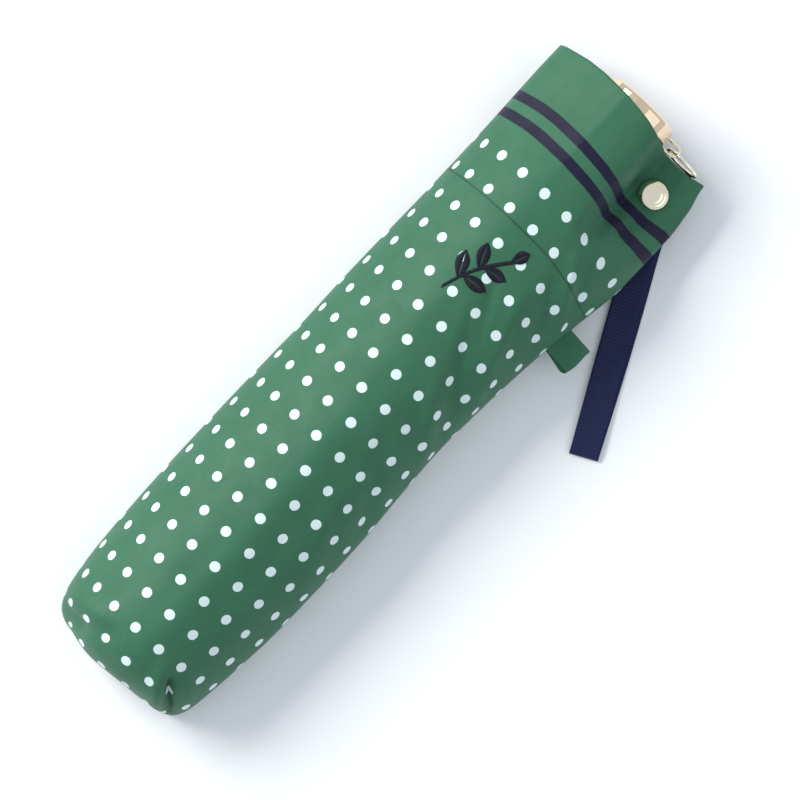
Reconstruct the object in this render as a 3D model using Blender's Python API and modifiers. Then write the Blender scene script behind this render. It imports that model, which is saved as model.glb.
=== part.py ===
"""Children's three-fold umbrella, folded in its polka-dot sleeve.

Frame: +X runs along the shaft from the crown (closed end of the sleeve) to
the handle, +Z is up, and the sleeve lies on z = 0.  Metres.
"""
import math

import bmesh
import bpy
from mathutils import Matrix, Vector

MM = 0.001

# ---------------------------------------------------------------- dimensions
Z0 = 19.3            # height of the shaft axis over the table
X_CROWN = -107.0     # rib hinge plane at the crown
CLEAR = 0.3          # gap kept between touching pieces

# rib linkage, in the plane of one rib: u along the shaft, r from its axis
RIBS = 6
RIB_PHASE = 30.0     # azimuth of rib 1, degrees from +Y towards +Z
L_INNER = 158.0      # crown hinge to the first fold
L_MIDDLE = 156.0     # first fold to the second fold
L_OUTER = 156.0      # second fold to the tip
R_CROWN = 8.0        # crown hinge radius
R_INNER = 8.0        # centre line of the inner rib when folded
R_FOLD1 = 10.0
R_MIDDLE = 12.0
R_FOLD2 = 13.3
R_OUTER = 14.6
U_FOLD1 = L_INNER
U_FOLD2 = L_INNER - L_MIDDLE
U_RUNNER = 165.0     # stretcher hinge on the folded runner
R_RUNNER = 8.2
A_STRETCH = 80.0     # crown hinge to the stretcher pivot on the inner rib
RIB_T = 1.8          # rib section, across
RIB_H = 1.8          # rib section, height
PLANE_T = 2.2        # side step between neighbouring bars

# telescopic shaft, outer and bore radii
UPPER_R, UPPER_B = 6.0, 5.6
MIDDLE_R, MIDDLE_B = 4.4, 4.0
LOWER_R, LOWER_B = 3.4, 3.0
UPPER_END = 71.5
MIDDLE_END = 72.5
LOWER_END = 112.0

# handle
GRIP_X0, GRIP_X1 = 73.6, 121.5
CAP_X0, CAP_X1 = 121.8, 127.3
HANDLE_R = 13.8

# wrapped canopy and tie band
WRAP_R, WRAP_B = 17.5, 17.0
BAND_R, BAND_B = 18.4, 17.9
BAND_X0, BAND_X1 = -8.0, 12.0

# sleeve: stations along X with the half widths towards +Y and towards -Y
SLEEVE_WALL = 0.8
SLEEVE_X = (-126.6, -125.6, -123.0, -118.0, -112.0, -100.0, -80.0, -60.0,
            -40.0, -20.0, 0.0, 20.0, 40.0, 60.0, 80.0, 100.0, 112.0, 121.0)
SLEEVE_L = (17.0, 20.5, 24.2, 27.6, 29.4, 30.8, 31.8, 32.3,
            32.4, 32.3, 32.1, 32.4, 32.3, 32.1, 32.3, 32.7, 33.0, 33.0)
SLEEVE_R = (17.0, 20.5, 23.6, 26.8, 28.4, 29.8, 31.2, 31.3,
            31.0, 29.8, 29.0, 29.8, 31.2, 33.6, 36.0, 36.0, 34.7, 32.9)
SLEEVE_H = (1.9, 3.6, 7.4, 13.4, 18.4, 19.3, 19.3, 19.3,
            19.3, 19.3, 19.3, 19.3, 19.3, 19.3, 18.2, 16.9, 16.5, 16.4)
SLEEVE_N = 2.2       # roundness of the section
# section angles, with extra ones at the edge of the snap's flat
SLEEVE_ANGLES = sorted([360.0 * (k + 0.5) / 32 for k in range(32)]
                       + [117.06, 242.94])

# snap fastener
SNAP_X, SNAP_Y = 108.3, -22.9
SNAP_MID_Z = 11.95
SNAP_HALF = 3.5
SNAP_R = 5.2

# wrist strap hardware
EYE_X0, EYE_X1 = 122.1, 125.9
EYE_Y = -18.7
EYE_WIRE = 0.5
RING_X = 124.0
RING_WIRE = 0.65
RING_R = 6.2
RING_TILT = 40.0     # how far the ring hangs below level
STRAP_W = 10.0
STRAP_T = 1.6
STRAP_LEN = 102.0
STRAP_YAW = 203.1

SEG = 32


# ------------------------------------------------------------------- helpers
def clear_scene():
    for ob in list(bpy.data.objects):
        bpy.data.objects.remove(ob, do_unlink=True)


def collection(name):
    found = bpy.data.collections.get(name)
    if found is None:
        found = bpy.data.collections.new(name)
        bpy.context.scene.collection.children.link(found)
    return found


clear_scene()
PARTS = collection("childrens_umbrella")
CUTTERS = collection("cutters")


def material(name, color, rough, metal=0.0):
    mat = bpy.data.materials.get(name) or bpy.data.materials.new(name)
    mat.use_nodes = True
    bsdf = mat.node_tree.nodes["Principled BSDF"]
    bsdf.inputs["Base Color"].default_value = (*color, 1.0)
    bsdf.inputs["Roughness"].default_value = rough
    bsdf.inputs["Metallic"].default_value = metal
    mat.diffuse_color = (*color, 1.0)
    return mat


GREEN = material("green_cloth", (0.075, 0.205, 0.125), 0.7)
NAVY = material("navy_ribbon", (0.016, 0.02, 0.07), 0.75)
GOLD = material("pale_gold", (0.80, 0.62, 0.36), 0.22, 1.0)
STEEL = material("rib_steel", (0.62, 0.63, 0.64), 0.32, 1.0)
PLASTIC = material("navy_plastic", (0.018, 0.022, 0.06), 0.4)
BLACK = material("black_plastic", (0.02, 0.02, 0.022), 0.45)


def place(ob, mat, cutter=False):
    if cutter:
        CUTTERS.objects.link(ob)
        ob.hide_render = True
        ob.display_type = "WIRE"
    else:
        PARTS.objects.link(ob)
        if mat is not None:
            ob.data.materials.clear()
            ob.data.materials.append(mat)
    return ob


def turned(name, profile, mat, x0=0.0, closed=False, steps=SEG, cutter=False,
           y0=0.0, z0=Z0, axis="X"):
    """A turned piece: (radius, height) pairs, from the top of its outer side
    down, then back along its bore if it has one."""
    verts = [(r * MM, 0.0, h * MM) for r, h in profile]
    edges = [(i, i + 1) for i in range(len(verts) - 1)]
    if closed:
        edges.append((len(verts) - 1, 0))
    mesh = bpy.data.meshes.new(name)
    mesh.from_pydata(verts, edges, [])
    ob = bpy.data.objects.new(name, mesh)
    place(ob, mat, cutter)
    screw = ob.modifiers.new("turn", "SCREW")
    screw.axis = "Z"
    screw.angle = math.tau
    screw.steps = steps
    screw.render_steps = steps
    screw.use_merge_vertices = True
    screw.merge_threshold = 0.00001
    screw.use_smooth_shade = True
    if axis == "X":
        ob.rotation_euler = (0.0, math.pi / 2, 0.0)
    ob.location = (x0 * MM, y0 * MM, z0 * MM)
    return ob


def tube(name, r, bore, x0, x1, mat, steps=SEG):
    return turned(name, [(r, x1), (r, x0), (bore, x0), (bore, x1)], mat,
                  closed=True, steps=steps)


def boxes(name, items, mat=None, cutter=True):
    """Several boxes in one mesh.  Each item is (matrix, size)."""
    bm = bmesh.new()
    for matrix, size in items:
        made = bmesh.ops.create_cube(bm, size=1.0)
        scale = Matrix.Diagonal((*[s * MM for s in size], 1.0))
        bmesh.ops.transform(bm, matrix=matrix @ scale, verts=made["verts"])
    mesh = bpy.data.meshes.new(name)
    bm.to_mesh(mesh)
    bm.free()
    ob = bpy.data.objects.new(name, mesh)
    return place(ob, mat, cutter)


def cut(ob, cutter, operation="DIFFERENCE"):
    mod = ob.modifiers.new("cut_" + cutter.name, "BOOLEAN")
    mod.operation = operation
    mod.solver = "EXACT"
    mod.object = cutter


def azimuth(index):
    return math.radians(RIB_PHASE + 360.0 / RIBS * index)


def radial_frame(phi, u, r, t):
    """Frame of a bar of the rib at azimuth phi: X along the shaft, Y outward,
    Z around the shaft."""
    turn = Matrix.Rotation(phi, 4, "X")
    shift = Matrix.Translation((
        (X_CROWN + u) * MM,
        (r * math.cos(phi) - t * math.sin(phi)) * MM,
        (Z0 + r * math.sin(phi) + t * math.cos(phi)) * MM))
    return shift @ turn


def arc(cx, cy, r, a0, a1, n):
    return [(cx + r * math.cos(math.radians(a0 + (a1 - a0) * i / n)),
             cy + r * math.sin(math.radians(a0 + (a1 - a0) * i / n)))
            for i in range(n + 1)]


def bar_curve(name, outline, holes, mat, thick=RIB_T):
    """A flat bar: an outline with round holes, extruded to its thickness."""
    curve = bpy.data.curves.new(name, "CURVE")
    curve.dimensions = "2D"
    curve.fill_mode = "BOTH"
    curve.extrude = thick * MM / 2
    loops = [outline]
    for cx, cy, r in holes:
        loops.append(arc(cx, cy, r, 0, -330, 11))
    for loop in loops:
        spline = curve.splines.new("POLY")
        spline.points.add(len(loop) - 1)
        for point, (x, y) in zip(spline.points, loop):
            point.co = (x * MM, y * MM, 0.0, 1.0)
        spline.use_cyclic_u = True
    curve.materials.append(mat)
    return curve


def link_bar(name, curve, phi, u, r, t):
    ob = bpy.data.objects.new(name, curve)
    PARTS.objects.link(ob)
    place_at = radial_frame(phi, u, r, t)
    ob.location = place_at.to_translation()
    ob.rotation_euler = (phi, 0.0, 0.0)
    return ob


def eye_bar(length, y_far, r_near, r_far, sign):
    """Outline of a bar whose near eye, at the origin, is on its centre line.
    Its far pivot is at (sign*length, y_far), on the centre line or above."""
    half = RIB_H / 2
    a = math.degrees(math.asin(half / r_near))
    loop = arc(0, 0, r_near, a, 360 - a, 10)
    if y_far > 0:
        loop += [(length + r_far - 0.5, -half), (length + r_far, 0.5 - half)]
        loop += arc(length, y_far, r_far, 0, 180, 8)
        loop += [(length - r_far - 0.8, half)]
    else:
        a = math.degrees(math.asin(half / r_far))
        loop += arc(length, 0, r_far, -180 + a, 180 - a, 10)
    if sign < 0:
        loop = [(-x, y) for x, y in loop][::-1]
    return loop


def wire(name, points, radius, mat, cyclic=False, resolution=2):
    curve = bpy.data.curves.new(name, "CURVE")
    curve.dimensions = "3D"
    curve.bevel_depth = radius * MM
    curve.bevel_resolution = resolution
    curve.use_fill_caps = not cyclic
    spline = curve.splines.new("POLY")
    spline.points.add(len(points) - 1)
    for point, (x, y, z) in zip(spline.points, points):
        point.co = (x * MM, y * MM, z * MM, 1.0)
    spline.use_cyclic_u = cyclic
    curve.materials.append(mat)
    ob = bpy.data.objects.new(name, curve)
    PARTS.objects.link(ob)
    return ob


def at(table, x):
    """Smooth value of a sleeve table at x."""
    xs = SLEEVE_X
    if x <= xs[0]:
        return table[0]
    if x >= xs[-1]:
        return table[-1]
    for i in range(len(xs) - 1):
        if xs[i] <= x <= xs[i + 1]:
            break
    t = (x - xs[i]) / (xs[i + 1] - xs[i])

    def slope(k):
        if k == 0 or k == len(xs) - 1:
            return 0.0
        return (table[k + 1] - table[k - 1]) / (xs[k + 1] - xs[k - 1])

    w = xs[i + 1] - xs[i]
    h00, h10 = 2 * t ** 3 - 3 * t ** 2 + 1, t ** 3 - 2 * t ** 2 + t
    h01, h11 = -2 * t ** 3 + 3 * t ** 2, t ** 3 - t ** 2
    return (h00 * table[i] + h10 * w * slope(i)
            + h01 * table[i + 1] + h11 * w * slope(i + 1))


def ramp(v, lo, hi):
    t = max(0.0, min(1.0, (v - lo) / (hi - lo)))
    return t * t * (3 - 2 * t)


def pinch(x, y):
    """How strongly the snap pulls the two layers together at (x, y)."""
    return ramp(x, SNAP_X - 32.0, SNAP_X - 6.5) * ramp(-y, 12.0, 17.1)


def sleeve_point(x, a):
    """Outer surface of the sleeve at station x and section angle a."""
    c, s = math.cos(a), math.sin(a)
    e = 2.0 / SLEEVE_N
    cy = math.copysign(abs(c) ** e, c)
    half = at(SLEEVE_L if c >= 0 else SLEEVE_R, x)
    y = half * cy
    full = at(SLEEVE_H, x)
    h = full * max(0.0, 1 - abs(cy) ** SLEEVE_N) ** (1 / SLEEVE_N)
    k = pinch(x, y)
    edge = min(1.0, 5.0 * (1 - abs(cy)))
    h = (1 - k) * h + k * min(h, SNAP_HALF * edge ** 0.5)
    mid = Z0 - (Z0 - SNAP_MID_Z) * k
    # the closed end settles towards the table
    drop = max(0.0, min(1.0, (-x - 104.0) / 22.0))
    mid -= 8.0 * drop * drop
    z = mid + math.copysign(h, s)
    if s < 0 and z < 1.3:
        z = 0.0 if z < 1.0 else (z - 1.0) * 1.3 / 0.3
    return (x * MM, y * MM, max(z, 0.0) * MM)


# -------------------------------------------------------------------- shaft
upper = turned("upper_tube", [
    (UPPER_R, UPPER_END), (UPPER_R, X_CROWN + 2.6), (UPPER_B, X_CROWN + 2.6),
    (UPPER_B, UPPER_END - 7.0), (4.7, UPPER_END - 5.5), (4.7, UPPER_END)],
    STEEL, closed=True)
turned("middle_tube", [
    (MIDDLE_R, MIDDLE_END), (MIDDLE_R, X_CROWN + 22.0), (5.3, X_CROWN + 20.5),
    (5.3, X_CROWN + 14.0), (MIDDLE_B, X_CROWN + 14.0),
    (MIDDLE_B, MIDDLE_END - 7.0), (3.7, MIDDLE_END - 5.5), (3.7, MIDDLE_END)],
    STEEL, closed=True, steps=28)
turned("lower_tube", [
    (LOWER_R, LOWER_END), (LOWER_R, X_CROWN + 23.5), (3.7, X_CROWN + 22.0),
    (3.7, X_CROWN + 15.5), (LOWER_B, X_CROWN + 15.5), (LOWER_B, LOWER_END)],
    STEEL, closed=True, steps=24)

# crown: a slotted head with a groove for its tie wire and a plug for the tube
crown = turned("crown", [
    (0.0, 12.0), (5.3, 12.0), (5.3, 2.25), (9.8, 2.25), (9.8, 0.75),
    (7.2, 0.75), (7.2, -0.75), (9.8, -0.75), (9.8, -3.1), (9.3, -3.5),
    (0.0, -3.5)], BLACK, x0=X_CROWN, steps=36)
slots = boxes("crown_slots", [
    (radial_frame(azimuth(i), -0.6, 6.45 + 2.5, 0.0), (8.0, 5.0, 2.3))
    for i in range(RIBS)])
cut(crown, slots)


def ring_points(radius, x, n):
    return [(x, radius * math.cos(math.tau * i / n),
             Z0 + radius * math.sin(math.tau * i / n)) for i in range(n)]


wire("crown_wire", ring_points(R_CROWN, X_CROWN, 36), 0.35, STEEL, True, 1)

# ferrule cap over the crown
turned("ferrule_cap", [
    (0.0, -3.8), (8.6, -3.8), (8.8, -4.1), (8.7, -6.0), (7.6, -8.6),
    (5.4, -10.6), (2.8, -11.7), (0.0, -12.0)], GOLD, x0=X_CROWN, steps=36)

# runner: hub with stretcher slots, tie-wire groove and a keyway for the catch
X_RUN = X_CROWN + U_RUNNER
runner = turned("runner", [
    (8.6, 13.0), (8.6, 3.2), (9.9, 2.0), (9.9, 0.75), (7.5, 0.75),
    (7.5, -0.75), (9.9, -0.75), (9.9, -1.6), (6.3, -1.6), (6.3, 13.0)],
    BLACK, x0=X_RUN, closed=True, steps=36)
runner_slots = boxes("runner_slots", [
    (radial_frame(azimuth(i), U_RUNNER - 0.2, 6.75 + 2.5, -PLANE_T),
     (4.6, 5.0, 2.5)) for i in range(RIBS)])
cut(runner, runner_slots)
keyway = boxes("runner_keyway", [
    (radial_frame(0.0, U_RUNNER + 6.0, 6.5, 0.0), (24.0, 2.0, 3.0))])
cut(runner, keyway)
R_WIRE = math.hypot(R_RUNNER, PLANE_T)
wire("runner_wire", ring_points(R_WIRE, X_RUN, 36), 0.35, STEEL, True, 1)

# spring catch that holds the open runner, in a window of the upper tube
CATCH_U = 65.6
window = boxes("catch_window", [
    (radial_frame(0.0, CATCH_U, 6.2, 0.0), (4.8, 2.4, 2.6))])
cut(upper, window)
catch = boxes("runner_catch", [
    (radial_frame(0.0, CATCH_U, 6.3, 0.0), (4.0, 1.8, 2.0))], BLACK, cutter=False)
catch_bevel = catch.modifiers.new("round", "BEVEL")
catch_bevel.width = 0.3 * MM
catch_bevel.segments = 1

# --------------------------------------------------------------------- ribs
inner_curve = bar_curve(
    "inner_rib_bar",
    eye_bar(L_INNER, R_FOLD1 - R_INNER, 1.35, 1.3, 1),
    [(0.0, 0.0, 0.65), (L_INNER, R_FOLD1 - R_INNER, 0.5)], STEEL)
stretch_len = math.hypot(U_RUNNER - A_STRETCH, R_RUNNER - R_INNER)
stretch_curve = bar_curve(
    "stretcher_bar",
    eye_bar(stretch_len, 0.0, 1.35, 1.2, -1),
    [(0.0, 0.0, 0.75), (-stretch_len, 0.0, 0.5)], STEEL)


def folded_bar(length, y_near, y_far, sign):
    """Outline of a bar whose pivots both sit off its centre line, the near
    one below it (y_near > 0) and the far one at y_far."""
    half = RIB_H / 2
    r = 1.3
    top, low = y_near + half, y_near - half
    loop = arc(0, 0, r, 180, 360, 8) + [(r + 0.6, low)]
    if y_far is None:
        loop += [(length - 0.4, low), (length + 0.5, low + 0.4),
                 (length + 0.9, y_near), (length + 0.5, top - 0.4),
                 (length - 0.4, top)]
    else:
        loop += [(length + r - 0.5, low), (length + r, low + 0.5)]
        loop += arc(length, y_far, r, 0, 180, 8)
        loop += [(length - r - 0.6, top)]
    loop += [(-r + 0.5, top), (-r, top - 0.5)]
    if sign < 0:
        loop = [(-x, y) for x, y in loop][::-1]
    return loop


middle_curve = bar_curve(
    "middle_rib_bar",
    folded_bar(L_MIDDLE, R_MIDDLE - R_FOLD1, R_FOLD2 - R_FOLD1, -1),
    [(0.0, 0.0, 0.5), (-L_MIDDLE, R_FOLD2 - R_FOLD1, 0.5)], STEEL)
outer_curve = bar_curve(
    "outer_rib_bar",
    folded_bar(L_OUTER, R_OUTER - R_FOLD2, None, 1),
    [(0.0, 0.0, 0.5), (L_OUTER - 1.0, R_OUTER - R_FOLD2, 0.4)], STEEL)

for i in range(RIBS):
    phi = azimuth(i)
    n = i + 1
    link_bar(f"rib_inner_{n}", inner_curve, phi, 0.0, R_CROWN, 0.0)
    link_bar(f"stretcher_{n}", stretch_curve, phi, U_RUNNER, R_RUNNER, -PLANE_T)
    link_bar(f"rib_middle_{n}", middle_curve, phi, U_FOLD1, R_FOLD1, PLANE_T)
    link_bar(f"rib_outer_{n}", outer_curve, phi, U_FOLD2, R_FOLD2, 0.0)

# ------------------------------------------------------------------- canopy
# The folded cloth: three packets, each a third of the canopy, lie along ribs
# 1, 3 and 5, in three lengths that fold with the rib's three lengths.
for j in range(3):
    phi = azimuth(2 * j)
    for ring, (u0, u1, r0, r1, t0, t1) in {
            "inner": (5.0, 150.0, 9.2, 9.85, -1.0, 2.4),
            "middle": (8.0, 150.0, 10.15, 10.8, -2.4, 2.4),
            "outer": (6.0, 153.0, 15.8, 16.45, -2.4, 2.4)}.items():
        boxes(f"canopy_{ring}_{j + 1}", [
            (radial_frame(phi, (u0 + u1) / 2, (r0 + r1) / 2, (t0 + t1) / 2),
             (u1 - u0, r1 - r0, t1 - t0))], GREEN, cutter=False)

tube("canopy_wrap", WRAP_R, WRAP_B, X_CROWN + 2.8, X_CROWN + 160.5, GREEN)
tube("tie_band", BAND_R, BAND_B, BAND_X0, BAND_X1, GREEN)

# ------------------------------------------------------------------- handle
turned("handle_grip", [
    (0.0, GRIP_X1), (HANDLE_R, GRIP_X1), (HANDLE_R, 100.0), (13.4, 84.0),
    (12.2, 74.6), (11.4, GRIP_X0), (9.4, GRIP_X0), (9.0, 79.0),
    (3.75, 79.0), (3.75, 112.6), (0.0, 112.6)], PLASTIC)
turned("handle_end_cap", [
    (0.0, CAP_X1), (11.8, CAP_X1), (13.0, CAP_X1 - 0.3), (13.6, CAP_X1 - 0.8),
    (HANDLE_R, CAP_X1 - 1.6), (HANDLE_R, CAP_X0), (0.0, CAP_X0)], GOLD)

# --------------------------------------------------- wrist strap and its ring
eye = [(EYE_X0, -HANDLE_R - 0.35, Z0)]
eye += [(EYE_X0, -16.6, Z0), (EYE_X0 + 0.25, -17.8, Z0),
        (EYE_X0 + 0.9, -18.5, Z0), (EYE_X0 + 1.7, EYE_Y, Z0),
        (EYE_X1 - 1.7, EYE_Y, Z0), (EYE_X1 - 0.9, -18.5, Z0),
        (EYE_X1 - 0.25, -17.8, Z0), (EYE_X1, -16.6, Z0),
        (EYE_X1, -HANDLE_R - 0.35, Z0)]
wire("strap_eye", eye, EYE_WIRE, GOLD)

tilt = math.radians(RING_TILT)
ring_c = (EYE_Y - (RING_R - 1.4) * math.cos(tilt),
          Z0 - (RING_R - 1.4) * math.sin(tilt))
wire("strap_ring", [
    (RING_X, ring_c[0] + RING_R * math.cos(math.tau * i / 28),
     ring_c[1] + RING_R * math.sin(math.tau * i / 28)) for i in range(28)],
    RING_WIRE, GOLD, True, 2)

# the ribbon, doubled: it leaves the ring, comes down and lies on the table
RING_LOW = ring_c[1] - RING_R - RING_WIRE
upper_side = []
for k in range(13):
    f = k / 12
    s = -1.6 + 26.0 * f
    ease = 1 - (1 - f) ** 2.2
    upper_side.append((s, (RING_LOW - 0.35) * (1 - ease) + (0.05 + STRAP_T) * ease))
upper_side.append((STRAP_LEN - 0.8, 0.05 + STRAP_T))
upper_side.append((STRAP_LEN, 0.05 + STRAP_T * 0.6))
lower_side = [(STRAP_LEN, 0.05 + STRAP_T * 0.4), (STRAP_LEN - 0.8, 0.05)]
lower_side += [(s, max(0.05, z - STRAP_T)) for s, z in upper_side[:13]][::-1]
strap_curve = bar_curve("wrist_strap", upper_side[::-1] + lower_side[::-1],
                        [], NAVY, thick=STRAP_W)
strap = bpy.data.objects.new("wrist_strap", strap_curve)
PARTS.objects.link(strap)
yaw = math.radians(STRAP_YAW)
along = Vector((math.cos(yaw), math.sin(yaw), 0.0))
up = Vector((0.0, 0.0, 1.0))
side = along.cross(up)
strap_frame = Matrix((
    (along.x, up.x, side.x, 0.0), (along.y, up.y, side.y, 0.0),
    (along.z, up.z, side.z, 0.0), (0.0, 0.0, 0.0, 1.0)))
strap.rotation_euler = strap_frame.to_euler()
strap.location = (RING_X * MM, (ring_c[0] - 1.2) * MM, 0.0)

# ------------------------------------------------------------------- sleeve
bm = bmesh.new()
rows = []
stations = []
for i in range(len(SLEEVE_X) - 1):
    steps = 2 if SLEEVE_X[i + 1] - SLEEVE_X[i] > 15 and SLEEVE_X[i] >= 80 else 1
    for k in range(steps):
        stations.append(SLEEVE_X[i] + (SLEEVE_X[i + 1] - SLEEVE_X[i]) * k / steps)
stations.append(SLEEVE_X[-1])
for x in stations:
    rows.append([bm.verts.new(sleeve_point(x, math.radians(a)))
                 for a in SLEEVE_ANGLES])
for a, b in zip(rows, rows[1:]):
    for k in range(len(a)):
        m = (k + 1) % len(a)
        bm.faces.new((a[k], b[k], b[m], a[m]))
bm.faces.new(rows[0])
bmesh.ops.recalc_face_normals(bm, faces=bm.faces)
mesh = bpy.data.meshes.new("sleeve")
bm.to_mesh(mesh)
bm.free()
sleeve = place(bpy.data.objects.new("sleeve", mesh), GREEN)
shell = sleeve.modifiers.new("cloth", "SOLIDIFY")
shell.thickness = SLEEVE_WALL * MM
shell.offset = -1.0
shell.use_even_offset = False

# loop tab sewn into the side seam
tab = boxes("sleeve_tab", [
    (Matrix.Translation((53.0 * MM, (-at(SLEEVE_R, 53.0) - 2.9) * MM, Z0 * MM)),
     (11.0, 4.6, 1.6))], GREEN, cutter=False)
tab_bevel = tab.modifiers.new("round", "BEVEL")
tab_bevel.width = 0.5 * MM
tab_bevel.segments = 2

# snap fastener: cap and socket on the front layer, stud and post on the back
top = SNAP_MID_Z + SNAP_HALF
low = SNAP_MID_Z - SNAP_HALF


def snap_piece(name, profile):
    return turned(name, profile, GOLD, x0=SNAP_X, y0=SNAP_Y, z0=0.0,
                  steps=28, axis="Z")


snap_piece("snap_cap", [
    (0.0, top + 2.5), (2.6, top + 2.35), (4.3, top + 1.8), (5.05, top + 1.1),
    (SNAP_R, top + 0.75), (5.0, top + 0.45), (0.0, top + 0.45)])
snap_piece("snap_socket", [
    (0.0, top - 1.5), (3.3, top - 1.5), (3.3, top - 2.8), (1.9, top - 2.8),
    (1.9, top - 2.1), (0.0, top - 2.1)])
snap_piece("snap_stud", [
    (0.0, low + 3.6), (1.4, low + 3.5), (1.5, low + 2.4), (3.4, low + 2.4),
    (3.4, low + 1.4), (0.0, low + 1.4)])
snap_piece("snap_post", [
    (0.0, low - 0.7), (4.0, low - 0.7), (4.1, low - 1.1), (3.6, low - 1.6),
    (0.0, low - 1.8)])
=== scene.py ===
"""Children's three-fold umbrella in its polka-dot sleeve, seen from above.

All lengths are in metres in the row frame; helper tables are in millimetres.
"""

import math

import bmesh
import bpy
import numpy as np
from mathutils import Matrix, Vector, noise


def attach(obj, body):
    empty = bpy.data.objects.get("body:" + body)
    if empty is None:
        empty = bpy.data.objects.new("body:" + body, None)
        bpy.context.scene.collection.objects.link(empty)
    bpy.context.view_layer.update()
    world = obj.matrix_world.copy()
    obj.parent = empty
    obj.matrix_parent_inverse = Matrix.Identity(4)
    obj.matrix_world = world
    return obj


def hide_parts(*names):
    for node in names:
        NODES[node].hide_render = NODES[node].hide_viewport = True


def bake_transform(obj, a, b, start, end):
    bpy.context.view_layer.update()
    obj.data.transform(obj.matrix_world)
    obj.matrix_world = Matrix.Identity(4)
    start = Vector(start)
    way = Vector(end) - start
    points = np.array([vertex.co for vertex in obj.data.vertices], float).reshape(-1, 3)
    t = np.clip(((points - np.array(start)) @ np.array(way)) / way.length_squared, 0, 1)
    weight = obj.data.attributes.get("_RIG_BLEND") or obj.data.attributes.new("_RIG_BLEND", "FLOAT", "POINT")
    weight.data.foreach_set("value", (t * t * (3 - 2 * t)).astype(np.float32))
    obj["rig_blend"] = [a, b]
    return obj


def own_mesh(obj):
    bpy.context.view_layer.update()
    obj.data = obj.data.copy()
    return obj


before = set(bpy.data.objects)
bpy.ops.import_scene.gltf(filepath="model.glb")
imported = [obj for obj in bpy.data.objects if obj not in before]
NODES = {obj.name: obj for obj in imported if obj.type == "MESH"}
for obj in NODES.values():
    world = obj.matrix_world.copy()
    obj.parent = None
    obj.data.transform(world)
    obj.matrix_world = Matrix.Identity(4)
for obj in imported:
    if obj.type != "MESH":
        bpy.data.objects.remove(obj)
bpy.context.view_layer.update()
MM = 0.001


# --------------------------------------------------------------- small helpers
def mesh_object(name, verts, faces, uvs=None, smooth=True, scale=MM):
    """A mesh from points in millimetres; uvs is one (u, v) per face corner."""
    mesh = bpy.data.meshes.new(name)
    mesh.from_pydata([tuple(c * scale for c in v) for v in verts], [], faces)
    if uvs is not None:
        layer = mesh.uv_layers.new(name="UVMap")
        flat = np.array(uvs, np.float32).ravel()
        layer.data.foreach_set("uv", flat)
    if smooth:
        mesh.polygons.foreach_set("use_smooth", [True] * len(mesh.polygons))
    mesh.update()
    ob = bpy.data.objects.new(name, mesh)
    bpy.context.scene.collection.objects.link(ob)
    return ob


def apply_modifiers(ob):
    dg = bpy.context.evaluated_depsgraph_get()
    mesh = bpy.data.meshes.new_from_object(ob.evaluated_get(dg))
    old = ob.data
    ob.modifiers.clear()
    ob.data = mesh
    bpy.data.meshes.remove(old)
    return ob


def recalc(ob):
    bm = bmesh.new()
    bm.from_mesh(ob.data)
    bmesh.ops.recalc_face_normals(bm, faces=bm.faces)
    bm.to_mesh(ob.data)
    bm.free()
    return ob


def dress(ob, mat):
    ob.data.materials.clear()
    ob.data.materials.append(mat)
    return ob


def lerp_table(xs, ys, x):
    return float(np.interp(x, xs, ys))


def ramp(v, lo, hi):
    t = max(0.0, min(1.0, (v - lo) / (hi - lo)))
    return t * t * (3 - 2 * t)


def tube_mesh(name, points, radius, sides=12, closed=False, flat=None):
    """A tube of round (or flattened) section along points, in millimetres."""
    pts = [Vector(p) for p in points]
    n = len(pts)
    tangents = []
    for i in range(n):
        a = pts[(i - 1) % n] if closed or i > 0 else pts[i]
        b = pts[(i + 1) % n] if closed or i < n - 1 else pts[i]
        tangents.append((b - a).normalized())
    ref = Vector((0, 0, 1))
    if abs(tangents[0].dot(ref)) > 0.9:
        ref = Vector((1, 0, 0))
    normal = (ref - tangents[0] * ref.dot(tangents[0])).normalized()
    verts, faces = [], []
    for i in range(n):
        normal = (normal - tangents[i] * normal.dot(tangents[i])).normalized()
        side = tangents[i].cross(normal)
        r = radius[i] if hasattr(radius, "__len__") else radius
        for k in range(sides):
            a = math.tau * k / sides
            verts.append(tuple(pts[i] + normal * (math.cos(a) * r)
                               + side * (math.sin(a) * r * (flat or 1.0))))
    for i in range(n if closed else n - 1):
        j = (i + 1) % n
        for k in range(sides):
            m = (k + 1) % sides
            faces.append((i * sides + k, i * sides + m, j * sides + m, j * sides + k))
    if not closed:
        faces.append(tuple(range(sides))[::-1])
        faces.append(tuple((n - 1) * sides + k for k in range(sides)))
    return recalc(mesh_object(name, verts, faces))


def lathe(name, profile, centre, axis="Z", steps=64):
    """A turned piece: profile (radius, height) in mm, closed on the axis."""
    verts, faces = [], []
    for r, h in profile:
        for k in range(steps):
            a = math.tau * k / steps
            p = ((r * math.cos(a), r * math.sin(a), h) if axis == "Z"
                 else (h, r * math.cos(a), r * math.sin(a)))
            verts.append(tuple(c + d for c, d in zip(p, centre)))
    n = len(profile)
    for i in range(n - 1):
        for k in range(steps):
            m = (k + 1) % steps
            faces.append((i * steps + k, i * steps + m,
                          (i + 1) * steps + m, (i + 1) * steps + k))
    ob = mesh_object(name, verts, faces)
    bm = bmesh.new()
    bm.from_mesh(ob.data)
    bmesh.ops.remove_doubles(bm, verts=bm.verts, dist=1e-6)
    bmesh.ops.recalc_face_normals(bm, faces=bm.faces)
    bm.to_mesh(ob.data)
    bm.free()
    ob.data.polygons.foreach_set("use_smooth", [True] * len(ob.data.polygons))
    return ob


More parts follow.
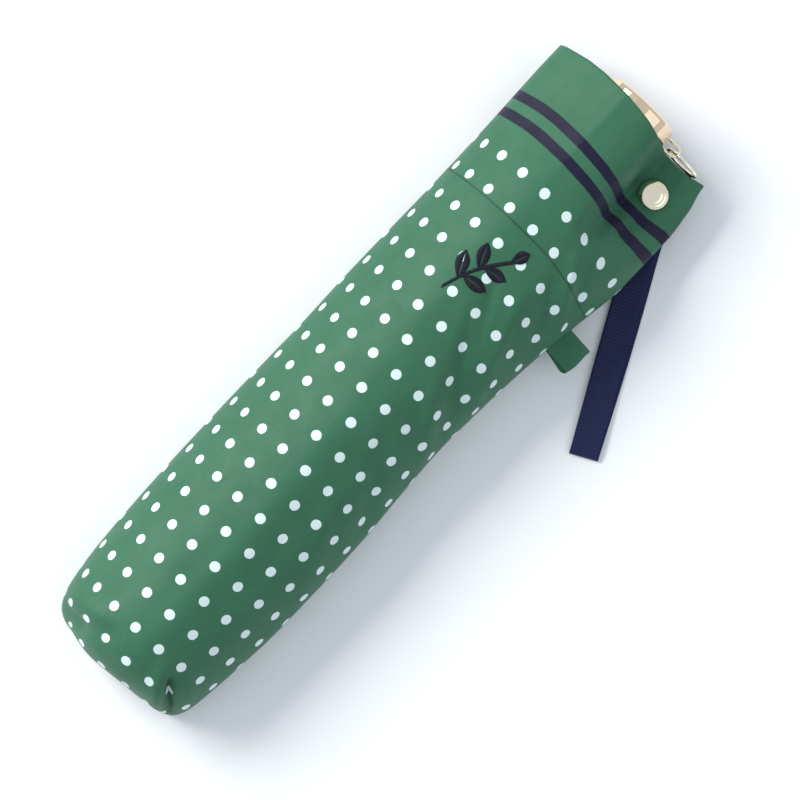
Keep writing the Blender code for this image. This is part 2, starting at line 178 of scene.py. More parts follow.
# ------------------------------------------------------------------ materials
class Shader:
    """A Principled material and short calls for the nodes that feed it."""

    def __init__(self, name, rough=0.5, metal=0.0, **sockets):
        self.mat = bpy.data.materials.new(name)
        self.mat.use_nodes = True
        self.tree = self.mat.node_tree
        self.bsdf = self.tree.nodes["Principled BSDF"]
        self.bsdf.inputs["Roughness"].default_value = rough
        self.bsdf.inputs["Metallic"].default_value = metal
        for k, v in sockets.items():
            self.bsdf.inputs[k.replace("_", " ")].default_value = v

    def node(self, kind, **settings):
        n = self.tree.nodes.new(kind)
        for k, v in settings.items():
            setattr(n, k, v)
        return n

    def put(self, socket, value):
        if isinstance(value, bpy.types.NodeSocket):
            self.tree.links.new(value, socket)
        else:
            socket.default_value = value

    def math(self, op, a, b=0.0, c=0.0):
        n = self.node("ShaderNodeMath", operation=op)
        for s, v in zip(n.inputs, (a, b, c)):
            self.put(s, v)
        return n.outputs[0]

    def step(self, value, lo, hi):
        """0 below lo, 1 above hi, smooth between; lo > hi turns it over."""
        n = self.node("ShaderNodeMapRange", interpolation_type="SMOOTHSTEP")
        self.put(n.inputs["Value"], value)
        if lo <= hi:
            vals = (lo, hi, 0.0, 1.0)
        else:
            vals = (hi, lo, 1.0, 0.0)
        for k, v in zip(("From Min", "From Max", "To Min", "To Max"), vals):
            n.inputs[k].default_value = v
        return n.outputs["Result"]

    def range(self, value, a, b, c, d):
        n = self.node("ShaderNodeMapRange")
        self.put(n.inputs["Value"], value)
        for k, v in zip(("From Min", "From Max", "To Min", "To Max"), (a, b, c, d)):
            n.inputs[k].default_value = v
        return n.outputs["Result"]

    def uv(self):
        n = self.node("ShaderNodeUVMap", uv_map="UVMap")
        s = self.node("ShaderNodeSeparateXYZ")
        self.put(s.inputs[0], n.outputs[0])
        return s.outputs[0], s.outputs[1]

    def place(self):
        n = self.node("ShaderNodeTexCoord")
        return n.outputs["Object"]

    def noise(self, scale, detail=2.0, rough=0.5, vector=None, stretch=None):
        vector = vector or self.place()
        if stretch:
            m = self.node("ShaderNodeMapping")
            self.put(m.inputs["Vector"], vector)
            m.inputs["Scale"].default_value = stretch
            vector = m.outputs[0]
        n = self.node("ShaderNodeTexNoise")
        self.put(n.inputs["Vector"], vector)
        n.inputs["Scale"].default_value = scale
        n.inputs["Detail"].default_value = detail
        n.inputs["Roughness"].default_value = rough
        return n.outputs["Fac"]

    def mix(self, fac, a, b):
        n = self.node("ShaderNodeMix", data_type="RGBA")
        self.put(n.inputs[0], fac)
        for s, v in zip((n.inputs[6], n.inputs[7]), (a, b)):
            self.put(s, (*v, 1.0) if isinstance(v, tuple) else v)
        return n.outputs[2]

    def colour(self, value):
        self.put(self.bsdf.inputs["Base Color"],
                 (*value, 1.0) if isinstance(value, tuple) else value)

    def rough(self, value):
        self.put(self.bsdf.inputs["Roughness"], value)

    def bump(self, height, distance, strength=1.0):
        n = self.node("ShaderNodeBump")
        n.inputs["Strength"].default_value = strength
        n.inputs["Distance"].default_value = distance
        self.put(n.inputs["Height"], height)
        self.put(self.bsdf.inputs["Normal"], n.outputs[0])


# the cloth's own coordinates, in mm, are kept in the UV map as shares of this
U_LOW, U_SPAN = -90.0, 260.0
V_LOW, V_SPAN = -160.0, 320.0
ROW_0, ROW_PITCH = 81.5, 10.575
DOT_U, DOT_PITCH, DOT_R = 3.17, 10.2, 1.72
STRIPES = (93.5, 100.4)
STRIPE_HALF = 1.72
STITCH_V = 68.6
GREEN = (0.031, 0.138, 0.073)
GREEN_2 = (0.027, 0.122, 0.064)
DOT_WHITE = (0.66, 0.79, 0.78)
NAVY = (0.012, 0.014, 0.052)


def weave(sh, u, v, pitch):
    """Plain weave of that pitch, in mm: over and under threads."""
    a = sh.math("SINE", sh.math("MULTIPLY", u, math.tau / pitch))
    b = sh.math("SINE", sh.math("MULTIPLY", v, math.tau / pitch))
    return sh.math("MULTIPLY", a, b)


def cloth(name, pattern="dots", hem=False):
    sh = Shader(name, rough=0.5)
    sh.bsdf.inputs["Sheen Weight"].default_value = 0.03
    sh.bsdf.inputs["Sheen Roughness"].default_value = 0.45
    sh.bsdf.inputs["Specular IOR Level"].default_value = 0.3
    us, vs = sh.uv()
    u = sh.math("MULTIPLY_ADD", us, U_SPAN, U_LOW)
    v = sh.math("MULTIPLY_ADD", vs, V_SPAN, V_LOW)
    patch = sh.noise(55.0, 3.0, 0.55)
    green = sh.mix(sh.range(patch, 0.3, 0.7, 0.0, 1.0), GREEN_2, GREEN)
    thread = sh.noise(900.0, 1.0, 0.5, stretch=(0.3, 1.0, 1.0))
    green = sh.mix(sh.range(thread, 0.35, 0.65, 0.0, 0.22), green, (0.042, 0.165, 0.090))
    colour = green
    if pattern == "dots":
        t = sh.math("MULTIPLY_ADD", v, -1.0 / ROW_PITCH, ROW_0 / ROW_PITCH)
        row = sh.math("ROUND", t)
        dv = sh.math("MULTIPLY", sh.math("SUBTRACT", t, row), ROW_PITCH)
        odd = sh.math("FLOORED_MODULO", row, 2.0)
        s = sh.math("MULTIPLY_ADD", odd, -DOT_PITCH / 2, u)
        s = sh.math("MULTIPLY", sh.math("SUBTRACT", s, DOT_U), 1.0 / DOT_PITCH)
        du = sh.math("MULTIPLY", sh.math("SUBTRACT", s, sh.math("ROUND", s)), DOT_PITCH)
        d = sh.math("SQRT", sh.math("ADD", sh.math("MULTIPLY", du, du),
                                    sh.math("MULTIPLY", dv, dv)))
        # the printed edge follows the threads a little
        d = sh.math("ADD", d, sh.math("MULTIPLY", sh.math("SUBTRACT", thread, 0.5), 0.25))
        dot = sh.step(d, DOT_R + 0.10, DOT_R - 0.10)
        dot = sh.math("MULTIPLY", dot, sh.step(row, -0.6, -0.4))
        colour = sh.mix(dot, colour, DOT_WHITE)
        for centre in STRIPES:
            d = sh.math("ABSOLUTE", sh.math("SUBTRACT", v, centre))
            d = sh.math("ADD", d, sh.math("MULTIPLY",
                                          sh.math("SUBTRACT", thread, 0.5), 0.2))
            colour = sh.mix(sh.step(d, STRIPE_HALF + 0.12, STRIPE_HALF - 0.12),
                            colour, NAVY_PRINT)
    fine = weave(sh, u, v, 0.42)
    height = sh.math("ADD", sh.math("MULTIPLY", fine, 0.35),
                     sh.math("MULTIPLY", patch, 2.2))
    if pattern == "dots" and hem:
        # the stitches draw the cloth in along the hem; the dark line painted along the stitches is painted
        # shade in the seam's groove
        d = sh.math("ABSOLUTE", sh.math("SUBTRACT", v, STITCH_V))
        seam = sh.step(d, 0.50, 0.14)
        # painted shade: the seam's groove darkened in the cloth's colour
        colour = sh.mix(sh.math("MULTIPLY", seam, 0.6), colour,
                        (0.007, 0.030, 0.018))
        pull = sh.step(d, 2.2, 0.0)
        ruck = sh.noise(520.0, 2.0, 0.5, stretch=(0.25, 1.0, 1.0))
        height = sh.math("ADD", height, sh.math("MULTIPLY", pull,
                         sh.math("MULTIPLY_ADD", ruck, 7.0, -6.0)))
    sh.colour(colour)
    sh.rough(sh.range(sh.noise(140.0, 2.0), 0.3, 0.7, 0.5, 0.62))
    sh.bump(height, 0.00006, 0.7)
    return sh.mat


NAVY_PRINT = (0.0035, 0.0030, 0.024)


def metal(name, colour, rough, scratch=0.06):
    sh = Shader(name, rough=rough, metal=1.0)
    worn = sh.noise(420.0, 4.0, 0.6)
    sh.colour(sh.mix(sh.range(worn, 0.35, 0.7, 0.0, 0.5), colour,
                     tuple(min(1.0, c * 1.08) for c in colour)))
    sh.rough(sh.range(sh.noise(900.0, 3.0, 0.6), 0.3, 0.7,
                      rough - scratch, rough + scratch))
    sh.bump(sh.noise(1500.0, 2.0), 0.00001, 0.25)
    return sh.mat


def plastic(name, colour, rough):
    sh = Shader(name, rough=rough)
    grain = sh.noise(1800.0, 3.0, 0.6)
    sh.colour(sh.mix(sh.range(sh.noise(70.0, 3.0), 0.3, 0.7, 0.0, 1.0), colour,
                     tuple(c * 1.25 + 0.002 for c in colour)))
    sh.rough(sh.range(grain, 0.3, 0.7, rough - 0.06, rough + 0.08))
    sh.bump(grain, 0.00003, 0.35)
    return sh.mat


def grosgrain(name):
    """Ribbed navy ribbon: ribs run across, one every 1.1 mm along u."""
    sh = Shader(name, rough=0.55)
    sh.bsdf.inputs["Sheen Weight"].default_value = 0.06
    sh.bsdf.inputs["Specular IOR Level"].default_value = 0.3
    us, vs = sh.uv()
    u = sh.math("MULTIPLY", us, 200.0)
    v = sh.math("MULTIPLY", vs, 10.0)
    rib = sh.math("SINE", sh.math("MULTIPLY", u, math.tau / 1.1))
    twist = sh.math("SINE", sh.math("MULTIPLY", v, math.tau / 0.3))
    edge = sh.step(sh.math("ABSOLUTE", sh.math("SUBTRACT", v, 5.0)), 4.55, 4.75)
    height = sh.math("ADD", sh.math("MULTIPLY", rib, 0.5),
                     sh.math("MULTIPLY", twist, 0.12))
    # painted shade: colour darker in the rib troughs and lighter on the crests, also lighter along the edges
    # and varying at random
    rib_shade_and_tone = sh.range(rib, -1.0, 1.0, 0.0, 1.0)
    rib_shade_and_tone = sh.math("ADD", sh.math("MULTIPLY", rib_shade_and_tone, 0.75),
                    sh.math("MULTIPLY", edge, 0.2))
    rib_shade_and_tone = sh.math("ADD", rib_shade_and_tone, sh.math("MULTIPLY", sh.noise(500.0, 3.0), 0.15))
    sh.colour(sh.mix(rib_shade_and_tone, (0.0012, 0.0034, 0.028), (0.0042, 0.0125, 0.090)))
    sh.rough(sh.range(sh.noise(300.0, 2.0), 0.3, 0.7, 0.48, 0.6))
    sh.bump(height, 0.00012, 0.8)
    return sh.mat


def thread_material(name, colour, light):
    sh = Shader(name, rough=0.5)
    sh.bsdf.inputs["Sheen Weight"].default_value = 0.06
    sh.bsdf.inputs["Specular IOR Level"].default_value = 0.22
    ply = sh.noise(2600.0, 2.0, 0.6, stretch=(1.0, 0.4, 1.0))
    sh.colour(sh.mix(sh.range(ply, 0.3, 0.7, 0.0, 1.0), colour, light))
    sh.rough(sh.range(ply, 0.3, 0.7, 0.4, 0.6))
    sh.bump(ply, 0.00006, 0.6)
    return sh.mat


CLOTH = cloth("polka_dot_pongee", hem=True)
CLOTH_CANOPY = cloth("polka_dot_canopy")
CLOTH_PLAIN = cloth("plain_pongee", pattern="plain")
GOLD = metal("pale_gold_plate", (0.86, 0.68, 0.48), 0.15, 0.05)
# painted reflection: a paler, lighter copy of the same gold plate, brightened to stand in for the bright
# reflections on the snap cap, ring and eye
GOLD_BRIGHT = metal("gold_plate_painted_reflection", (0.98, 0.87, 0.68), 0.13, 0.04)
STEEL = metal("plated_steel", (0.66, 0.67, 0.69), 0.28)
NAVY_PLASTIC = plastic("navy_moulded_plastic", (0.014, 0.018, 0.055), 0.36)
BLACK_PLASTIC = plastic("black_moulded_plastic", (0.018, 0.018, 0.02), 0.45)
RIBBON = grosgrain("navy_grosgrain")
SEW_GREEN = thread_material("green_sewing_thread", (0.006, 0.026, 0.015),
                            (0.016, 0.060, 0.034))
SEW_NAVY = thread_material("navy_embroidery_thread", (0.003, 0.0033, 0.008),
                           (0.014, 0.014, 0.030))

# ------------------------------------------------------------- sleeve surface
Z0 = 19.3
SNAP_X, SNAP_Y, SNAP_MID_Z, SNAP_HALF = 108.3, -22.9, 11.95, 3.5
SLEEVE_X = (-126.6, -125.6, -123.0, -118.0, -112.0, -100.0, -80.0, -60.0,
            -40.0, -20.0, 0.0, 20.0, 40.0, 60.0, 80.0, 100.0, 112.0, 121.0)
SLEEVE_L = (17.0, 20.5, 24.2, 27.6, 29.4, 30.8, 31.8, 32.3,
            32.4, 32.3, 32.1, 32.4, 32.3, 32.1, 32.3, 32.7, 33.0, 33.0)
SLEEVE_R = (17.0, 20.5, 23.6, 26.8, 28.4, 29.8, 31.2, 31.3,
            31.0, 29.8, 29.0, 29.8, 31.2, 33.6, 36.0, 36.0, 34.7, 32.9)
SLEEVE_H = (1.9, 3.6, 7.4, 13.4, 18.4, 19.3, 19.3, 19.3,
            19.3, 19.3, 19.3, 19.3, 19.3, 19.3, 18.2, 16.9, 16.5, 16.4)


def at(table, x):
    """Smooth (cubic) value of a table over the sleeve's stations."""
    xs = SLEEVE_X
    if x <= xs[0]:
        return table[0]
    if x >= xs[-1]:
        return table[-1]
    i = max(j for j in range(len(xs) - 1) if xs[j] <= x)
    w = xs[i + 1] - xs[i]
    t = (x - xs[i]) / w

    def slope(j):
        if j == 0:
            return (table[1] - table[0]) / (xs[1] - xs[0])
        if j == len(xs) - 1:
            return (table[-1] - table[-2]) / (xs[-1] - xs[-2])
        return (table[j + 1] - table[j - 1]) / (xs[j + 1] - xs[j - 1])

    return ((2 * t ** 3 - 3 * t ** 2 + 1) * table[i]
            + (t ** 3 - 2 * t ** 2 + t) * w * slope(i)
            + (-2 * t ** 3 + 3 * t ** 2) * table[i + 1]
            + (t ** 3 - t ** 2) * w * slope(i + 1))


def pinch(x, y):
    return ramp(x, SNAP_X - 32.0, SNAP_X - 6.5) * ramp(-y, 9.5, 17.4)


# the cloth as it lies, a little fuller than the solid towards the closed end
LOOK_X = (-128.2, -128.0, -127.2, -125.6, -123.0, -119.0, -112.0, -100.0, -80.0,
          -60.0, -40.0, -20.0, 0.0, 20.0, 40.0, 60.0, 80.0, 100.0, 112.0, 121.0)
LOOK_L = (17.5, 19.8, 22.2, 24.6, 26.6, 28.2, 29.6, 31.0, 32.0,
          32.5, 32.6, 32.5, 32.3, 32.6, 32.5, 32.3, 32.4, 32.8, 33.0, 33.0)
LOOK_R = (16.5, 19.0, 22.0, 25.0, 26.6, 27.8, 28.8, 30.0, 31.3,
          31.4, 31.1, 29.9, 29.1, 29.9, 31.3, 33.7, 36.1, 36.1, 34.8, 32.9)
LOOK_H = (0.4, 4.4, 9.4, 13.1, 16.0, 17.8, 18.9, 19.3, 19.3,
          19.3, 19.3, 19.3, 19.3, 19.3, 19.3, 19.3, 18.2, 16.9, 16.5, 16.4)
LOOK_SAG = (9.5, 9.3, 9.0, 8.8, 8.6, 8.4, 8.6, 9.0, 9.4,
            9.4, 9.2, 9.0, 8.8, 8.8, 8.8, 8.6, 8.2, 6.8, 5.0, 4.2)
LOOK_MID = (8.6, 9.0, 10.4, 12.6, 15.0, 17.4, 19.0, 19.3, 19.3,
            19.3, 19.3, 19.3, 19.3, 19.3, 19.3, 19.3, 19.3, 19.3, 19.3, 19.3)


def look(table, x):
    """Monotone-ish cubic value of a LOOK table at station x."""
    xs = LOOK_X
    if x <= xs[0]:
        return table[0]
    if x >= xs[-1]:
        return table[-1]
    i = max(j for j in range(len(xs) - 1) if xs[j] <= x)
    w = xs[i + 1] - xs[i]
    t = (x - xs[i]) / w

    def slope(j):
        if j == 0 or j == len(xs) - 1:
            return 0.0 if j else (table[1] - table[0]) / (xs[1] - xs[0])
        a = (table[j] - table[j - 1]) / (xs[j] - xs[j - 1])
        b = (table[j + 1] - table[j]) / (xs[j + 1] - xs[j])
        return 0.0 if a * b <= 0 else 2 * a * b / (a + b)

    return ((2 * t ** 3 - 3 * t ** 2 + 1) * table[i]
            + (t ** 3 - 2 * t ** 2 + t) * w * slope(i)
            + (-2 * t ** 3 + 3 * t ** 2) * table[i + 1]
            + (t ** 3 - t ** 2) * w * slope(i + 1))


def sleeve_base(x, a, half_l, half_r, full, sag, middle):
    c, s = math.cos(a), math.sin(a)
    e = 2.0 / 2.2
    cy = math.copysign(abs(c) ** e, c)
    y = (half_l if c >= 0 else half_r) * cy
    h = full * max(0.0, 1 - abs(cy) ** 2.2) ** (1 / 2.2)
    k = pinch(x, y)
    edge = min(1.0, 5.0 * (1 - abs(cy)))
    h = (1 - k) * h + k * min(h, SNAP_HALF * edge ** 0.5)
    # the slack sides settle lower than the middle
    mid = middle - sag * abs(cy) ** 2.1
    mid = (1 - k) * mid + k * SNAP_MID_Z
    z = mid + math.copysign(h, s)
    if s > 0:
        # near the mouth the front layer is drawn tight over the handle
        q = 0.85 * ramp(x, 74.0, 110.0) * (1 - k)
        if y > 6.2:
            taut = 33.8 - (y - 6.2) * 0.49
        else:
            taut = Z0 + math.sqrt(max(0.0, 14.9 ** 2 - min(0.0, y) ** 2)) - 0.1
            taut = max(taut, 33.8 - 0.02 * y) if y > 0 else taut
        d = z - taut - 1.0
        z = z - q * (d + math.sqrt(d * d + 6.0)) / 2 + q * 0.6
    if s < 0 and z < 1.3:
        z = 0.0 if z < 1.0 else (z - 1.0) * 1.3 / 0.3
    return x, y, max(z, 0.0)


EDGE_Y = (-33.2, -27.2, -18.7, -12.7, -4.7, 5.4, 16.2, 22.7, 29.7, 32.9)
EDGE_X = (121.9, 120.3, 120.3, 120.7, 122.4, 123.7, 124.4, 124.2, 123.2, 122.9)
BEND_X = (-125.0, -100.0, -40.0, 20.0, 50.0, 64.0, 77.0, 91.0, 100.0, 125.0)
BEND_R = (-1.5, -1.2, 0.0, 2.0, 4.2, 4.9, 4.4, 2.3, 0.5, 0.0)

# creases and ridges of the cloth: ends (x, y), half width, height, all in mm;
# a positive height stands out, a negative one is a valley
FOLDS = (
    # closed end, left: a tucked pleat with the cloth rolled over it
    (-125.2, 22.5, -116.5, 6.5, 3.2, -1.35),
    (-121.5, 26.5, -123.5, 15.0, 1.7, -1.1),
    (-117.4, 27.5, -113.5, 12.0, 3.4, 1.1),
    (-127.0, 14.0, -125.2, -4.0, 2.6, 0.5),
    # closed end, right: a deep narrow crease
    (-114.6, -16.6, -125.4, -25.2, 1.15, -4.2),
    (-112.5, -22.0, -122.0, -29.0, 2.2, 1.1),
    (-112.0, -11.5, -125.0, -19.0, 2.4, 1.1),
    # long soft ridges where the folded ribs push the cloth out
    (-112.0, -4.5, -20.0, -1.5, 5.0, 0.85),
    (-104.0, -16.5, -30.0, -12.0, 4.2, -0.55),
    (-104.0, 14.0, -10.0, 15.0, 5.0, -0.35),
    (-40.0, 3.0, 62.0, 5.0, 6.0, 0.5),
    # pulls running in from the waist of the right edge
    (4.0, -27.5, 34.0, -9.0, 2.6, -1.5),
    (-8.0, -28.0, 14.0, -13.0, 2.6, 1.05),
    (16.0, -27.5, 50.0, -15.0, 2.3, 1.1),
    (-36.0, -29.5, -10.0, -13.0, 2.8, -1.05),
    (-66.0, -30.0, -38.0, -16.0, 3.0, 0.75),
    (40.0, -30.5, 62.0, -19.0, 1.9, -1.2),
    (30.0, -16.0, 52.0, -4.0, 2.3, -0.85),
    (26.0, -10.0, 44.0, 0.0, 3.0, 0.45),
    (50.0, -32.5, 76.0, -17.0, 1.8, 1.0),
    (60.0, -30.0, 84.0, -20.0, 1.7, -0.6),
    # the valley beside the snap and the pull lines round it
    (88.0, -15.5, 112.0, -17.2, 1.7, -0.7),
    (104.0, -17.5, 119.0, -12.5, 1.8, -0.7),
    (100.0, -27.0, 82.0, -30.5, 2.0, 0.45),
    (76.0, -20.0, 101.0, -21.5, 2.0, 0.5),
)


def fold_height(x, y):
    total = 0.0
    for x0, y0, x1, y1, half, height in FOLDS:
        dx, dy = x1 - x0, y1 - y0
        ll = dx * dx + dy * dy
        t = ((x - x0) * dx + (y - y0) * dy) / ll
        if t < -0.35 or t > 1.35:
            continue
        px, py = x0 + dx * t, y0 + dy * t
        d = math.hypot(x - px, y - py) / half
        if d > 3:
            continue
        end = ramp(t, -0.3, 0.25) * ramp(1 - t, -0.3, 0.25)
        total += height * end * math.exp(-d * d)
    return total


def bend(x, y):
    """How far the pattern runs ahead of x, towards the sleeve's edges."""
    if y < -8.0:
        t = min(1.0, (-y - 8.0) / 25.0)
        return lerp_table(BEND_X, BEND_R, x) * t ** 1.6
    if y > 18:
        return 0.35 * min(1.0, (y - 18) / 14.0)
    return 0.0


NT = 124          # columns over the top, right edge to left
NL = 84           # columns underneath, left edge back to right


def resample(points, count):
    """Points spaced evenly along a line, with their lengths from its start."""
    p = np.array(points)
    seg = np.linalg.norm(np.diff(p, axis=0), axis=1)
    acc = np.concatenate(([0.0], np.cumsum(seg)))
    want = np.linspace(0.0, acc[-1], count + 1)
    return (np.stack([np.interp(want, acc, p[:, i]) for i in range(3)], axis=1),
            want, acc, p)


def build_sleeve():
    spacing = 1.25
    stations = [-128.2, -128.12, -128.0, -127.7, -127.2, -126.5, -125.6, -124.5,
                -123.3, -122.0]
    while stations[-1] < 121.0 - spacing * 0.6:
        stations.append(stations[-1] + spacing)
    stations.append(121.0)
    rows, cloth_u, cloth_v = [], [], []
    nd = 420
    run = 0.0
    for i, x in enumerate(stations):
        args = [look(t, x) for t in (LOOK_L, LOOK_R, LOOK_H, LOOK_SAG, LOOK_MID)]
        top = [sleeve_base(x, math.pi * (1 - j / nd), *args) for j in range(nd + 1)]
        low = [sleeve_base(x, -math.pi * j / nd, *args) for j in range(nd + 1)]
        low[0], low[-1] = top[-1], top[0]
        tp, tw, tacc, tdense = resample(top, NT)
        lp, lw, _, _ = resample(low, NL)
        zero = float(np.interp(0.0, tdense[:, 1], tacc))
        us = [w - zero for w in tw] + [tw[-1] - zero + w for w in lw[1:]]
        rows.append([Vector(p) for p in tp] + [Vector(p) for p in lp[1:]])
        cloth_u.append(us)
    n, m = len(rows), NT + NL
    # length of the cloth along the middle of the top, so that the pattern
    # runs round the closed end without stretching
    centre = [rows[i][NT // 2] for i in range(n)]
    for i, x in enumerate(stations):
        if x > -116.0:
            base_v = x
        else:
            j = i
            base_v = None
            acc = 0.0
            while stations[j] <= -116.0:
                acc += (math.hypot(stations[j + 1] - stations[j],
                                   centre[j + 1].z - centre[j].z)
                        * (0.72 if stations[j] < -121.5 else 1.0))
                j += 1
            base_v = stations[j] - acc
        cloth_v.append([base_v + bend(x, p.y) * (1 if k <= NT else 0.4)
                        for k, p in enumerate(rows[i])])
    out = []
    for i in range(n):
        line = []
        for k in range(m + 1):
            p = rows[i][k]
            ka, kb = (k - 1) if k else m - 1, (k + 1) if k < m else 1
            ta = rows[i][kb] - rows[i][ka]
            tx = rows[min(n - 1, i + 1)][k] - rows[max(0, i - 1)][k]
            nrm = tx.cross(ta)
            nrm = nrm.normalized() if nrm.length > 1e-9 else Vector((0, 0, 1))
            x, y, z = p
            is_top = k <= NT
            # 1 over the top, fading down the side edges
            rise = min(1.0, 3.2 * min(k, NT - k) / NT) if is_top else 0.0
            h = fold_height(x, y) * (ramp(rise, 0.0, 0.5) if is_top else 0.0)
            swell = noise.noise(Vector((x * 0.024, y * 0.070, z * 0.05))) * 0.50
            swell += noise.noise(Vector((x * 0.075 + 7.1, y * 0.10, z * 0.09))) * 0.22
            near_snap = max(0.0, 1 - math.hypot(x - SNAP_X, y - SNAP_Y) / 12.0)
            swell *= (1 - near_snap) * (1 - 0.75 * ramp(x, 72, 96))
            swell *= 0.03 + 0.97 * ramp(rise, 0.0, 0.9)
            h += swell
            if z < 6.0:
                h *= z / 6.0
            if is_top:
                # the snap's cap sits in a dimple
                d = math.hypot(x - SNAP_X, y - SNAP_Y)
                h -= 0.40 * ramp(9.5 - d, 0.0, 4.4)
            q = p + nrm * h
            edge = lerp_table(EDGE_Y, EDGE_X, y) - 121.0
            if not is_top:
                edge = 0.35 * edge + 0.1 + 0.65 * edge * ramp(abs(k - NT - NL / 2)
                                                              / (NL / 2), 0.8, 1.0)
            q.x += edge * ramp(x, 55.0, 121.0)
            q.z = max(q.z, 0.0)
            line.append(q)
        line[m] = line[0].copy()
        out.append(line)
    normals = []
    for i in range(n):
        line = []
        for k in range(m + 1):
            ka, kb = (k - 1) if k else m - 1, (k + 1) if k < m else 1
            v = (out[min(n - 1, i + 1)][k] - out[max(0, i - 1)][k]).cross(
                out[i][kb] - out[i][ka])
            line.append(v.normalized() if v.length > 1e-9 else Vector((0, 0, 1)))
        normals.append(line)
    # turned-in hem: back from the mouth, inside the outer layer
    hem, hem_u, hem_v = [], [], []
    start = next(i for i, x in enumerate(stations) if x > STITCH_V - 1.2)
    for i in range(n - 1, start - 1, -2):
        line = []
        for k in range(m + 1):
            off = 0.62 if i < n - 1 else 0.34
            q = out[i][k] - normals[i][k] * off
            if i == n - 1:
                q.x += 0.24
            line.append(q)
        hem.append(line)
        hem_u.append(cloth_u[i])
        hem_v.append([2 * 122.0 - v for v in cloth_v[i]])
    grid = hem[::-1] + out[::-1]
    us = hem_u[::-1] + cloth_u[::-1]
    vs = hem_v[::-1] + cloth_v[::-1]
    cols = m + 1
    verts = [tuple(p) for line in grid for p in line]
    faces, uvs = [], []
    for i in range(len(grid) - 1):
        for k in range(m):
            corners = ((i, k), (i + 1, k), (i + 1, k + 1), (i, k + 1))
            faces.append(tuple(r * cols + c for r, c in corners))
            for r, c in corners:
                uvs.append(((us[r][c] - U_LOW) / U_SPAN, (vs[r][c] - V_LOW) / V_SPAN))
    ob = mesh_object("sleeve_cloth", verts, faces, uvs)
    bm = bmesh.new()
    bm.from_mesh(ob.data)
    bmesh.ops.remove_doubles(bm, verts=bm.verts, dist=4e-6)
    # the closed end's two layers meet in a flat seam
    rim = [e for e in bm.edges if e.is_boundary
           and all(v.co.x < -0.120 for v in e.verts)]
    if rim:
        bmesh.ops.holes_fill(bm, edges=rim, sides=0)
    bm.to_mesh(ob.data)
    bm.free()
    return ob, out, stations


sleeve, S_GRID, S_X = build_sleeve()
shell = sleeve.modifiers.new("cloth", "SOLIDIFY")
shell.thickness = 0.22 * MM
shell.offset = -1.0
apply_modifiers(sleeve)


def grid_at(x, f):
    """Point of the finished outer layer at station x; f runs from 0 at the
    right edge over the top to 1 at the left edge."""
    g = max(0.0, min(NT - 1e-6, f * NT))
    k = int(g)
    j = int(np.clip(np.searchsorted(S_X, x) - 1, 0, len(S_X) - 2))
    t = max(0.0, min(1.0, (x - S_X[j]) / (S_X[j + 1] - S_X[j])))
    a0 = S_GRID[j][k].lerp(S_GRID[j][k + 1], g - k)
    a1 = S_GRID[j + 1][k].lerp(S_GRID[j + 1][k + 1], g - k)
    return a0.lerp(a1, t)


def surface(x, y, lift=0.0):
    """The outer top surface at station x and width y, and its normal."""
    lo, hi = 0.02, 0.98
    for _ in range(22):
        f = (lo + hi) / 2
        if grid_at(x, f).y < y:
            lo = f
        else:
            hi = f
    p = grid_at(x, f)
    nrm = (grid_at(x + 0.8, f) - p).cross(grid_at(x, f + 0.006) - p)
    nrm = nrm.normalized() if nrm.length > 1e-9 else Vector((0, 0, 1))
    if nrm.z < 0:
        nrm = -nrm
    return p + nrm * lift, nrm


SLEEVE_PIECES = [sleeve]
dress(sleeve, CLOTH)
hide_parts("sleeve")

# ---- stitching of the hem: one thread stitch after another round the front
def stitch_row(name, line_v, pitch=2.25, length=1.65, radius=0.15):
    """Stitches over the top layer along pattern line v."""
    path = []
    steps = 420
    for j in range(steps + 1):
        f = j / steps
        x = line_v
        for _ in range(4):
            x = line_v - bend(x, grid_at(x, f).y)
        path.append(grid_at(x, f))
    acc = [0.0]
    for p, q in zip(path, path[1:]):
        acc.append(acc[-1] + (q - p).length)
    total = acc[-1]
    verts, faces = [], []
    s = 0.4
    while s + length < total:
        base = len(verts)
        for i, f in enumerate((0.0, 0.15, 0.5, 0.85, 1.0)):
            d = s + f * length
            j = min(len(acc) - 2, max(0, int(np.searchsorted(acc, d)) - 1))
            t = (d - acc[j]) / max(1e-9, acc[j + 1] - acc[j])
            p = path[j] + (path[j + 1] - path[j]) * t
            tan = (path[j + 1] - path[j]).normalized()
            out = Vector((1, 0, 0)).cross(tan).normalized()
            if out.z < 0:
                out = -out
            p = p + out * (-0.10 if i in (0, 4) else 0.08)
            side = tan.cross(out)
            r = radius * (0.75 if i in (0, 4) else 1.0)
            for k in range(6):
                a = math.tau * k / 6
                verts.append(tuple(p + side * math.cos(a) * r + out * math.sin(a) * r))
        for i in range(4):
            for k in range(6):
                m = (k + 1) % 6
                faces.append((base + i * 6 + k, base + i * 6 + m,
                              base + i * 6 + 6 + m, base + i * 6 + 6 + k))
        faces.append(tuple(base + k for k in range(6))[::-1])
        faces.append(tuple(base + 24 + k for k in range(6)))
        s += pitch
    return recalc(mesh_object(name, verts, faces))


hem_stitches = stitch_row("hem_stitches", STITCH_V)
dress(hem_stitches, SEW_GREEN)
SLEEVE_PIECES.append(hem_stitches)

